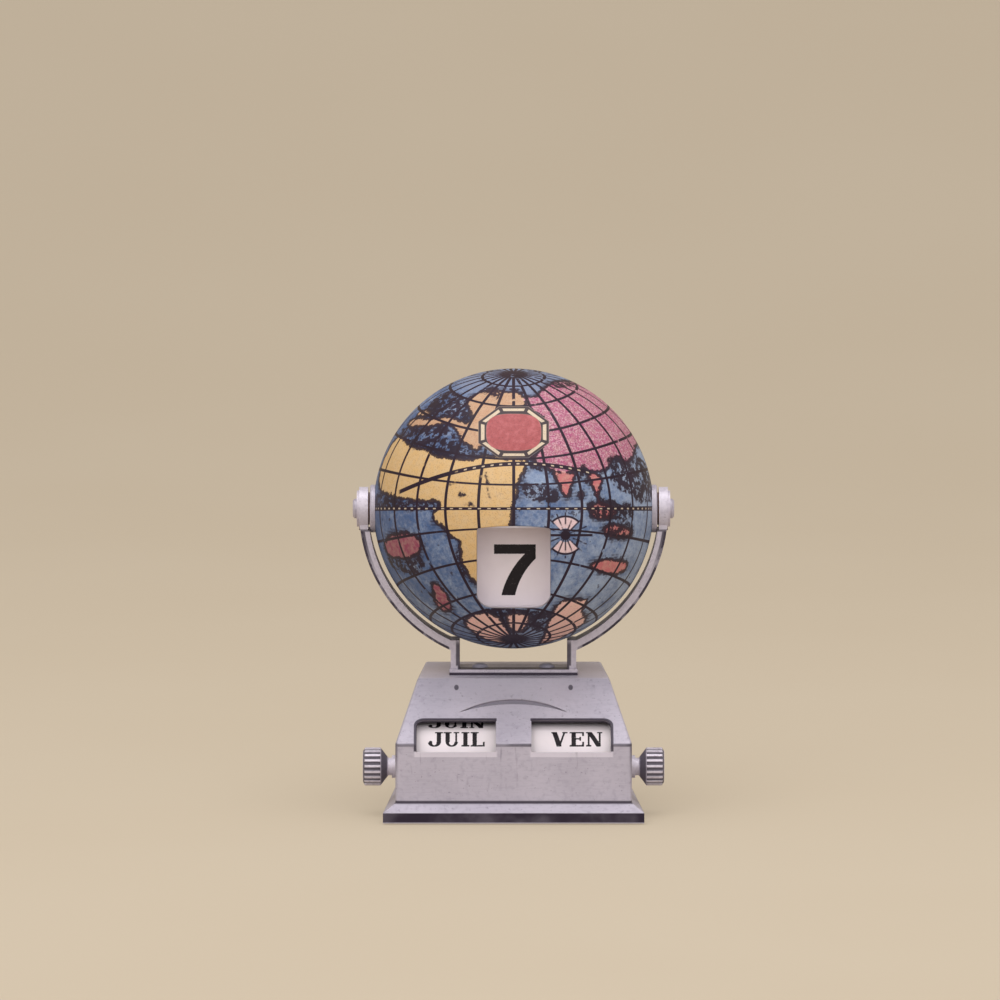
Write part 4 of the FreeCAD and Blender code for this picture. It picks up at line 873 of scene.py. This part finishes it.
def globe_print():
    """The map's colours and ink, plate by plate, on bare tin."""
    paint = Paint("lithographed_tin")
    x, y, z = (axis * (1 / GLOBE_RADIUS) for axis in paint.position(GLOBE_CENTRE))
    front_half = y.ramp(0.001, -0.001)
    y = abs(y)
    height = z * float(np.cos(ELEVATION)) - y * float(np.sin(ELEVATION))
    facing = z * float(np.sin(ELEVATION)) + y * float(np.cos(ELEVATION))
    tilt = paint.math("TANH", height * 2.2) * (float(TILT) - height * float(TILT_LESS))
    tilt = tilt * (1.03 - x * x * 0.85)
    north = height * paint.math("COSINE", tilt) + facing * paint.math("SINE", tilt)
    front = facing * paint.math("COSINE", tilt) - height * paint.math("SINE", tilt)
    latitude = paint.math("ARCSINE", least(most(north, -1.0), 1.0)) * float(np.degrees(1))
    longitude = paint.math("ARCTAN2", x, front) * float(np.degrees(1))
    level = paint.math("SQRT", most(1 - north * north, 0.0))
    degree = float(GLOBE_RADIUS * np.radians(1))

    wander = paint.noise(1.3, detail=4, roughness=0.7)
    shake = (wander - 0.5) * 2.2
    fields = {name: paint.field(name) + shake for name in TINTS}
    tints = {"africa": OCHRE, "europe": APRICOT, "asia": ROSE, "south": BLUSH, "isles": SALMON, "wine": WINE}

    grain = paint.noise(0.28, detail=1)
    clouds = paint.noise(6, detail=3)
    mottle = paint.noise(1.1, detail=3, shift=(5, 3, 8))
    fleck = paint.noise(0.6, detail=2, shift=(2, 7, 3))
    tide = (clouds * 0.55 + mottle * 0.25 + fleck * 0.2 + x * 0.12).ramp(0.35, 0.7)
    colour = paint.mix(tide, SEA, SEA_LIGHT)
    colour = paint.mix(latitude.ramp(60, 72), colour, POLAR)
    for name, field in fields.items():
        colour = paint.mix(field.ramp(-0.05, 0.05), colour, tints[name])
    nearest = most(*fields.values())
    pale = mottle.ramp(0.3, 0.75) * (nearest.ramp(-0.1, 0.1) * 0.2 + 0.08)
    colour = paint.mix(pale, colour, CREAM_PRINT)
    screen = paint.noise(0.42, detail=1, shift=(6, 1, 5)).ramp(0.45, 0.62)
    colour = paint.mix(screen * fields["asia"].ramp(-0.05, 0.05) * 0.4, colour, PETAL)
    halftone = grain.ramp(0.5, 0.62) * fields["asia"].ramp(-0.05, 0.05) * 0.35
    shore = 1 - abs(nearest).ramp(0.34, 0.56)
    fade = 1 - (-nearest).ramp(0.2, 2.0)
    sea_side = nearest.ramp(0.1, -0.1)
    strokes = paint.math("PINGPONG", z * (GLOBE_RADIUS / 0.36) + wander * 1.2, 1.0)
    hatch = strokes.ramp(0.35, 0.6)
    patches = paint.noise(2.6, detail=3, shift=(3, 1, 2)).ramp(0.38, 0.55)
    hatching = sea_side * fade * patches * (hatch * 0.55 + 0.45)
    murk = (paint.field("gloom") + (mottle - 0.5) * 2.4).ramp(-0.25, 0.35)
    streak = paint.noise(1.5, detail=3, roughness=0.7, shift=(1, 9, 4)).ramp(0.52, 0.6)
    gloom = murk * (1 - streak * 0.85)
    blots = paint.noise(1.9, detail=3, shift=(8, 2, 6)).ramp(0.66, 0.70)
    blots = blots * nearest.ramp(0.2, -0.2) * 0.7

    across = abs(paint.math("PINGPONG", longitude, MERIDIAN_STEP / 2))
    meridian = 1 - (across * level * degree).ramp(LINE - 0.06, LINE + 0.06)
    rows = [abs(latitude - float(row)) for row in NORTH_ROWS + SOUTH_ROWS]
    parallel = 1 - (least(*rows) * degree).ramp(LINE - 0.06, LINE + 0.06)
    gapped = paint.noise(2.0, detail=2, shift=(9, 4, 1)).ramp(0.26, 0.36)
    net = most(meridian, parallel) * gapped

    dashes = paint.math("PINGPONG", longitude / 2.0, 1.0).ramp(0.62, 0.7)
    equator = abs(latitude * degree + (wander - 0.5) * 0.12)
    equator_line = 1 - equator.ramp(0.5, 0.58)
    equator_gap = (1 - equator.ramp(0.16, 0.24)) * dashes
    arc = ARC_TOP - (x - ARC_MIDDLE) * (x - ARC_MIDDLE) * ARC_BEND
    ecliptic = abs((height - arc) * GLOBE_RADIUS)
    ecliptic_on = abs(x + 0.13).ramp(0.69, 0.67) * facing.ramp(0.0, 0.05)
    ecliptic_line = (1 - ecliptic.ramp(0.43, 0.51)) * ecliptic_on
    ecliptic_gap = (1 - ecliptic.ramp(0.12, 0.18)) * dashes * x.ramp(-0.45, -0.35)

    ink = most(shore * 0.95, hatching * 0.9, net, gloom * 0.97, blots, halftone)
    towards = facing.ramp(0.1, 0.2) * front_half
    u, w = x * GLOBE_RADIUS, height * GLOBE_RADIUS
    framed, framed_ink = cartouche(paint, u, w - CARTOUCHE_UP, colour, ink)
    colour = paint.mix(towards, colour, framed)
    ink = ink * (1 - towards) + framed_ink * towards
    petal_place = [(part - middle) * ROSE_SHARE for part, middle in zip((u, w), ROSE_PLACE)]
    rosy, rosy_ink = compass_rose(paint, *petal_place, colour, ink)
    colour = paint.mix(towards, colour, rosy)
    ink = ink * (1 - towards) + rosy_ink * towards
    ink = most(ink, equator_line, ecliptic_line)
    gaps = most(equator_gap * equator_line, ecliptic_gap * ecliptic_line)
    colour = paint.mix(gaps, colour, CREAM_PRINT)
    ink = ink * (1 - gaps * 0.85)
    speckle = grain.ramp(0.54, 0.66) * 0.2
    colour = paint.mix(most(ink, speckle), colour, paint.mix(clouds, INK, GLOOM_INK))
    printed = paint.field("printed").ramp(0.4, 0.6)
    colour = paint.mix(printed, BARE_TIN, colour)
    return paint.finish(
        Base_Color=colour,
        Metallic=(1 - printed) * 0.9,
        Roughness=0.5 + grain * 0.06,
        Coat_Weight=printed * 0.04,
        Specular_IOR_Level=0.3,
        Normal=paint.bump(clouds * 0.7 + grain * 0.05, 0.04),
    )


tin = globe_print()
front_shell = shell("globe_front_skin", front_start(), False, tin)
rear_shell = shell("globe_rear_skin", rear_start(), True, tin)
for skin, node in ((front_shell, "globe_front_shell"), (rear_shell, "globe_rear_shell")):
    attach(skin, "globe")
    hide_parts(node)

# %% [markdown]
# ## Printed bands
#
# The rollers carry the months and the weekdays in a slab-faced type. No font file is needed: a letter is a
# few flat-ended bars and bows, and each of them has a simple signed distance. The largest of these
# distances is the letter. A band is a thin sleeve, laid out as a lattice that closes both ways. Its outside
# is the paper's printed side: there the distances of all words are worked out once and kept with the
# points, and the shader cuts the ink out along distance zero.

# %% Letters from bars and bows
STEM = 0.235
HAIR = 0.1
LETTER_GAP = 0.1
NO_INK = -9.0


def bar(u, v, start, end, width):
    """Signed distance to a flat-ended bar between two places, positive inside."""
    (u0, v0), (u1, v1) = start, end
    length = np.hypot(u1 - u0, v1 - v0)
    along = ((u - u0) * (u1 - u0) + (v - v0) * (v1 - v0)) / length
    off = np.abs((u - u0) * (v1 - v0) - (v - v0) * (u1 - u0)) / length
    return np.minimum(width / 2 - off, length / 2 - np.abs(along - length / 2))


def bow(u, v, centre, reach, thick, thin, keep=None):
    """An oval ring, thick at its sides and thin at top and bottom; keep(u, v) is positive where it stays."""
    du, dv = (u - centre[0]) / reach[0], (v - centre[1]) / reach[1]
    away = np.hypot(du, dv) + 1e-9
    scale = np.hypot(du * reach[0], dv * reach[1]) / away
    width = thin + (thick - thin) * (du / away) ** 2
    ring = width / 2 - np.abs(away - 1) * scale
    return ring if keep is None else np.minimum(ring, keep(u, v))


def stem(u, v, left, low=0.0, high=1.0, feet="bt"):
    """An upright stem whose left side is given, with slab feet at the bottom and the top."""
    middle = left + STEM / 2
    parts = [bar(u, v, (middle, low), (middle, high), STEM)]
    for foot, level in (("b", low + HAIR / 2), ("t", high - HAIR / 2)):
        if foot in feet:
            parts.append(bar(u, v, (left - 0.1, level), (left + STEM + 0.1, level), HAIR))
    return union(*parts)


def letter(sign, u, v):
    """Signed distance and width of one capital of height 1."""

    def line(u0, v0, u1, v1, width=HAIR):
        return bar(u, v, (u0, v0), (u1, v1), width)

    top, low = 1 - HAIR / 2, HAIR / 2
    if sign == "I":
        return stem(u, v, 0.1), 0.4
    if sign in "LEF":
        width = 0.76
        parts = [stem(u, v, 0.1)]
        if sign != "F":
            parts += [line(0.1, low, width, low), line(width - 0.05, 0, width - 0.05, 0.3, 0.1)]
        if sign != "L":
            parts += [line(0.1, top, width, top), line(width - 0.05, 0.7, width - 0.05, 1, 0.1)]
            parts += [line(0.2, 0.5, 0.56, 0.5), line(0.56, 0.36, 0.56, 0.64, 0.08)]
        return union(*parts), width
    if sign == "T":
        ends = [line(x, 0.7, x, 1, 0.1) for x in (0.05, 0.77)]
        return union(stem(u, v, 0.31, feet="b"), line(0, top, 0.82, top), *ends), 0.82
    if sign == "J":
        hook = bow(u, v, (0.3, 0.26), (0.23, 0.22), STEM, HAIR, lambda u, v: 0.26 - v)
        ball = 0.09 - np.hypot(u - 0.1, v - 0.28)
        return union(stem(u, v, 0.43, low=0.24, feet="t"), hook, ball), 0.72
    if sign == "U":
        hook = bow(u, v, (0.42, 0.3), (0.24, 0.26), STEM * 0.8, HAIR, lambda u, v: 0.3 - v)
        thin = line(0.66, 0.28, 0.66, 1)
        slab = line(0.52, top, 0.82, top)
        return union(stem(u, v, 0.08, low=0.28, feet="t"), hook, thin, slab), 0.84
    if sign in "NM":
        width = 0.86 if sign == "N" else 1.04
        thin = line(0.14, 0, 0.14, 1)
        feet = [line(0, low, 0.28, low), line(0, top, 0.2, top)]
        if sign == "N":
            right = [line(width - 0.14, 0, width - 0.14, 1)]
            right.append(line(width - 0.28, top, width, top))
            cross = [line(0.16, 1, width - 0.18, 0, STEM * 1.05)]
        else:
            right = [stem(u, v, width - 0.1 - STEM)]
            cross = [line(0.17, 1, 0.5, 0.1, STEM), line(0.5, 0.1, width - 0.22, 1)]
        clipped = np.minimum(union(*cross), np.minimum(v, 1 - v))
        return union(thin, *feet, *right, clipped), width
    if sign in "VA":
        across, up, level = (u, v, top) if sign == "V" else (0.86 - u, 1 - v, low)
        wide = bar(across, up, (0.15, 1.05), (0.43, -0.05), STEM * 1.1)
        thin = bar(across, up, (0.72, 1.05), (0.42, -0.05), HAIR)
        body = np.minimum(union(wide, thin), np.minimum(v, 1 - v))
        slabs = [line(0, level, 0.3, level), line(0.58, level, 0.86, level)]
        if sign == "A":
            slabs.append(line(0.25, 0.34, 0.6, 0.34))
        return union(body, *slabs), 0.86
    if sign in "OC":
        keep = None if sign == "O" else lambda u, v: 0.62 - u
        ring = bow(u, v, (0.43, 0.5), (0.34, 0.46), STEM, HAIR, keep)
        if sign == "O":
            return ring, 0.86
        ends = [line(0.7, 0.64, 0.7, 0.98, 0.09), line(0.64, 0.08, 0.74, 0.24, 0.08)]
        return union(ring, *ends), 0.82
    if sign == "D":
        bowl = bow(u, v, (0.34, 0.5), (0.4, 0.458), STEM, HAIR, lambda u, v: u - 0.3)
        joins = [line(0.1, level, 0.36, level) for level in (low, top)]
        return union(stem(u, v, 0.1), bowl, *joins), 0.86
    if sign in "PR":
        bowl = bow(u, v, (0.42, 0.73), (0.24, 0.228), STEM * 0.85, HAIR, lambda u, v: u - 0.38)
        joins = [line(0.1, level, 0.44, level) for level in (0.5, top)]
        parts = [stem(u, v, 0.1), bowl, *joins]
        if sign == "R":
            parts += [line(0.46, 0.5, 0.7, 0.02, STEM * 0.9), line(0.6, low, 0.86, low)]
        return np.minimum(union(*parts), v), 0.86 if sign == "R" else 0.76
    thick = HAIR * 1.2
    upper = bow(u, v, (0.34, 0.75), (0.23, 0.21), thick, HAIR, lambda u, v: np.maximum(0.34 - u, v - 0.8))
    lower = bow(u, v, (0.34, 0.27), (0.25, 0.225), thick, HAIR, lambda u, v: np.maximum(u - 0.34, 0.2 - v))
    spine = line(0.12, 0.7, 0.57, 0.32, STEM)
    ends = [line(0.6, 0.7, 0.6, 1, 0.08), line(0.06, 0, 0.06, 0.3, 0.08)]
    return union(upper, lower, spine, *ends), 0.68


def word_field(word, across, up, width, height):
    """Signed distance in millimetres to a word centred at zero and fitted to a width and a height."""
    widths = [letter(sign, np.zeros(1), np.zeros(1))[1] for sign in word]
    total = sum(widths) + LETTER_GAP * (len(word) - 1)
    stretch = min(width / total, height * 1.05)
    field = np.full(across.shape, NO_INK)
    left = -total / 2
    for sign, share in zip(word, widths):
        distance, _ = letter(sign, across / stretch - left, up / height + 0.5)
        field = np.maximum(field, distance * height)
        left += share + LETTER_GAP
    return field


# %% Bands round the rollers
MONTHS = ["JANV", "FEVR", "MARS", "AVRIL", "MAI", "JUIN", "JUIL", "AOUT", "SEPT", "OCT", "NOV", "DEC"]
WEEKDAYS = ["LUN", "MAR", "MER", "JEU", "VEN", "SAM", "DIM"]
BAND_ROUND = 512
BAND_ALONG = 144
BAND_WALL = 0.15
BAND_ROUNDING = 0.03
WORD_HEIGHT = 4.0
WORD_WIDTH = 12.3
READING = np.radians(44.5)


def printed_band(name, words, shown, centre_x, material):
    """A sleeve with one word for each stop of the roller, turned so that the shown word faces its window.

    A place on the sleeve is (x, angle), with the angle counted up from -Y. Word k sits at angle
    READING - k * pitch, so turning the knob brings the next one up.
    """
    low, high = node_box(name)
    outer = (high[2] - low[2]) / 2
    inner = outer - BAND_WALL
    angle = even_angles(BAND_ROUND)
    x = np.linspace(low[0], high[0], BAND_ALONG)
    reach = np.concatenate([[x[0]], x, [x[-1], x[-1], x[0]]])
    rounded = outer - BAND_ROUNDING
    radius = np.concatenate([[rounded], np.full(BAND_ALONG, outer), [rounded, inner, inner]])
    spin, reach = np.broadcast_arrays(angle[:, None], reach)
    points = np.stack([reach, AXLE[0] - radius * np.cos(spin), AXLE[1] + radius * np.sin(spin)], axis=-1)
    pitch = TURN / len(words)
    ink = np.full(spin.shape, NO_INK)
    for step, word in enumerate(words):
        turn = spin - READING + (step - words.index(shown)) * pitch
        turn = (turn + np.pi) % TURN - np.pi
        near = np.abs(turn) < pitch
        letters = word_field(word, reach - centre_x, turn * outer, WORD_WIDTH, WORD_HEIGHT)
        ink = np.where(near, np.maximum(ink, letters), ink)
    fields = {"ink": np.where(radius > outer - 0.01, ink, NO_INK)}
    made = lattice(f"{name}_print", points, fields=fields, material=material)
    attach(made, name.replace("label_band", "roller"))
    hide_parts(name)
    return made


def inked_paper(name, paper, ink_tone, rough=0.55, mark=None):
    """Paper or plastic whose ink lies where its field or formula is positive, a little uneven at its edge."""
    paint = Paint(name)
    fibre = paint.noise(0.5, detail=3)
    cloud = paint.noise(5, detail=3)
    distance = mark(paint) if mark else paint.field("ink")
    edge = distance + (paint.noise(0.22, detail=2) - 0.5) * 0.12
    inked = edge.ramp(-0.045, 0.045)
    patchiness = 1 - fibre.ramp(0.62, 0.72) * 0.12
    shaded = (*[part * 0.9 for part in paper[:3]], 1.0)
    colour = paint.mix(cloud.ramp(0.3, 0.7) * 0.5, paper, shaded)
    colour = paint.mix(inked * patchiness, colour, ink_tone)
    return paint.finish(
        Base_Color=colour,
        Roughness=fibre * 0.1 + (rough - 0.05),
        Specular_IOR_Level=0.25,
        Normal=paint.bump(fibre, 0.01),
    )


CARD = linear(224, 214, 217)
BLACK_INK = linear(16, 8, 18)
band_paper = inked_paper("label_paper", CARD, BLACK_INK)
printed_band("month_label_band", MONTHS, "JUIL", -12.5, band_paper)
printed_band("weekday_label_band", WEEKDAYS, "VEN", 13.9, band_paper)

# %% [markdown]
# ## Number cards
#
# A card is a flat closed plate with rounded corners. Its lattice runs from the middle of the face out to
# the edge and back to the middle of the rear, like a very flat ball. The numeral is a field of the same
# kind as the words. When the front card leaves its chamber, the next card of the stack shows. Its number is
# two rings, which are easy as a formula in the material, so the stack keeps its solids as they are.

# %% The cards in sight
CARD_SIZE = (17.4, 18.0)
CARD_WALL = 0.4
RIM_SHARES = np.array([0.0, 0.05, 0.25, 0.75, 0.95, 1.0])
CARD_ROWS = 60
CARD_BACK_ROWS = 6
SEVEN_HALF = (4.58, 5.63)
SEVEN_BAR = 2.1
LEG_CENTRE = (15.61, -9.45)
LEG_RADIUS = 17.48
EIGHT_RINGS = ((2.8, 1.05, 1.95, 1.05), (-2.45, 1.0, 2.4, 1.1))
NUMBER_PLACE = (0.27, GLOBE_CENTRE[2] - 11.3)


def seven(u, v):
    """Signed distance in millimetres to a bold 7, centred at zero."""
    half_width, half_height = SEVEN_HALF
    middle = half_height - SEVEN_BAR / 2
    bar_top = bar(u, v, (-half_width, middle), (half_width, middle), SEVEN_BAR)
    leg = 1.3 - 0.03 * v - np.abs(np.hypot(u - LEG_CENTRE[0], v - LEG_CENTRE[1]) - LEG_RADIUS)
    return union(bar_top, np.minimum(leg, np.minimum(half_height - np.abs(v), half_width - u)))


def eight(paint):
    """The number on the next card: an upper and a lower ring, kept to the front face of the stack."""
    u, depth, v = paint.position((NUMBER_PLACE[0], stack_low[1], NUMBER_PLACE[1]))
    side = u * 0.85
    rings = [
        half - abs(paint.away(side, (v - height) * share) - radius)
        for height, share, radius, half in EIGHT_RINGS
    ]
    return most(*rings) + depth.ramp(0.02, 0.05) * NO_INK


def number_card(name, node, body, face, low):
    """A closed card at a depth, with its numeral where the date window shows it."""
    outline = rounded_rectangle(1.0, -1.0, 1.0, 0.05, 0.05, ROUND)
    outline = outline * np.array(CARD_SIZE) / 2
    rim = [0.985, 0.996, 1.0, 1.0, 0.996, 0.985]
    out = np.concatenate([np.linspace(0, 0.97, CARD_ROWS), rim, np.linspace(0.97, 0, CARD_BACK_ROWS)])
    deep = [np.zeros(CARD_ROWS), CARD_WALL * RIM_SHARES, np.full(CARD_BACK_ROWS, CARD_WALL)]
    deep = np.concatenate(deep)
    flat = outline[:, None] * out[None, :, None]
    depth = np.broadcast_to(face + deep, flat.shape[:2])
    points = np.stack([flat[..., 0], depth, flat[..., 1] + low + CARD_SIZE[1] / 2], axis=-1)
    ink = seven(points[..., 0] - NUMBER_PLACE[0], points[..., 2] - NUMBER_PLACE[1])
    fields = {"ink": np.where(deep < 0.01, ink, NO_INK)}
    made = lattice(name, points, poles=True, fields=fields, material=card_plastic)
    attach(made, body)
    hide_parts(node)
    return made


card_plastic = inked_paper("card_plastic", CARD, BLACK_INK, rough=0.45)
front_low, _ = node_box("front_date_card")
number_card("front_date_card_print", "front_date_card", "front_card", front_low[1], front_low[2])
stack_low, _ = node_box("lower_date_cards")
stack_plastic = inked_paper("stack_plastic", CARD, BLACK_INK, rough=0.45, mark=eight)
nodes["lower_date_cards"].data.materials.clear()
nodes["lower_date_cards"].data.materials.append(stack_plastic)

# %% [markdown]
# ## Stage, light and camera
#
# A pale floor sweeps up into a wall of the same colour, so the object stands in a plain room. The lamps
# give the surfaces a plain level, and the background's brightness comes from its own colour. From the side
# there is no wall. There the sky takes its place: it lights with an even grey, but is seen and mirrored in
# the tone of the wall.

# %% The sweep
CREAM = linear(188, 173, 151)
CREAM_CLOUD = linear(191, 177, 156)


def sweep(depth=500.0, front=-1500.0, rise=1800.0, bend=1100.0, half=2200.0):
    """A floor that turns up into a wall along a quarter circle."""
    turn = np.radians(np.linspace(0, 90, 24))
    profile = np.concatenate(
        [
            [[front, 0.0]],
            np.stack([depth + bend * np.sin(turn), bend - bend * np.cos(turn)], -1),
            [[depth + bend, rise]],
        ]
    )
    edges = [np.column_stack([np.full(len(profile), side), profile]) for side in (-half, half)]
    points = np.stack(edges) * MM
    count = len(profile)
    row = np.arange(count - 1)
    faces = np.stack([row, row + count, row + count + 1, row + 1], axis=-1)
    return piece("stage_sweep", points.reshape(-1, 3), [faces], {}, stage_paint())


def stage_paint():
    """The cream of floor and wall, half lit by itself."""
    paint = Paint("stage_cream")
    cloud = paint.noise(160, detail=2)
    colour = paint.mix(cloud.ramp(0.3, 0.7) * 0.4, CREAM, CREAM_CLOUD)
    shade = paint.mix(0.6, colour, (0, 0, 0, 1))
    return paint.finish(Base_Color=shade, Roughness=0.9, Emission_Color=colour, Emission_Strength=0.7)


sweep()


# %% Lamps and world
def lamp(name, place, aim, size, power, tint=(1, 1, 1)):
    """An area lamp in millimetres that faces its aim."""
    light = bpy.data.lights.new(name, "AREA")
    light.shape = "RECTANGLE"
    light.size, light.size_y = size[0] * MM, size[1] * MM
    light.energy = power
    light.color = tint
    made = bpy.data.objects.new(name, light)
    bpy.context.scene.collection.objects.link(made)
    made.location = Vector(place) * MM
    made.rotation_euler = (Vector(aim) * MM - made.location).to_track_quat("-Z", "Y").to_euler()
    return made


lamp("key_lamp", (-420, -760, 620), (0, 0, 45), (900, 900), 3.2, (1.0, 0.98, 0.96))
lamp("fill_lamp", (620, -660, 300), (0, 0, 45), (800, 800), 1.8, (0.97, 0.97, 1.0))
lamp("front_lamp", (0, -1000, 600), (0, 0, 50), (1000, 800), 2.4)
lamp("top_lamp", (0, -120, 760), (0, 0, 45), (700, 500), 3.8)

SKY_STRENGTH = 0.55
SKY_LIGHT = (0.93, 0.92, 0.95, 1)
WALL_TONE = linear(200, 185, 163)
SKY_SEEN = (*[level / SKY_STRENGTH for level in WALL_TONE[:3]], 1)


def studio_sky():
    """Even grey light all round, which the eye and the mirrors see in the tone of the cream wall."""
    sky = bpy.data.worlds.new("studio")
    sky.use_nodes = True
    tree = sky.node_tree
    path = tree.nodes.new("ShaderNodeLightPath")
    seen = path.outputs["Is Camera Ray"]
    for kind in ("Is Glossy Ray", "Is Transmission Ray"):
        either = tree.nodes.new("ShaderNodeMath")
        either.operation = "MAXIMUM"
        tree.links.new(seen, either.inputs[0])
        tree.links.new(path.outputs[kind], either.inputs[1])
        seen = either.outputs[0]
    tone = tree.nodes.new("ShaderNodeMix")
    tone.data_type = "RGBA"
    tree.links.new(seen, tone.inputs[0])
    tone.inputs[6].default_value = SKY_LIGHT
    tone.inputs[7].default_value = SKY_SEEN
    tree.links.new(tone.outputs[2], tree.nodes["Background"].inputs["Color"])
    tree.nodes["Background"].inputs["Strength"].default_value = SKY_STRENGTH
    return sky


bpy.context.scene.world = studio_sky()

# %% The camera
# The photograph is taken from a little above, with a long lens. Its scale and the pixel of the globe's
# centre are measured in its own 1000 by 1000 frame.
PHOTO_SIDE = 1000
PHOTO_CENTRE = (513.5, 508.5)
PHOTO_SCALE = 0.2214
DISTANCE = 2000.0
SENSOR = 36.0
FAR_CLIP = 20.0

camera_data = bpy.data.cameras.new("photo_camera")
camera = bpy.data.objects.new("photo_camera", camera_data)
bpy.context.scene.collection.objects.link(camera)
back = np.array([0, -np.cos(ELEVATION), np.sin(ELEVATION)])
up = np.array([0, np.sin(ELEVATION), np.cos(ELEVATION)])
offset = (np.array(PHOTO_CENTRE) - PHOTO_SIDE / 2) * PHOTO_SCALE
aim = GLOBE_CENTRE - np.array([offset[0], 0, 0]) + up * offset[1]
camera.location = (aim + back * DISTANCE) * MM
camera.rotation_euler = (np.pi / 2 - ELEVATION, 0, 0)
camera_data.sensor_width = SENSOR
camera_data.lens = float(SENSOR * DISTANCE / (PHOTO_SIDE * PHOTO_SCALE))
camera_data.clip_end = FAR_CLIP
bpy.context.scene.camera = camera
bpy.context.scene.view_settings.view_transform = "Standard"

# %% The end
bpy.context.view_layer.update()
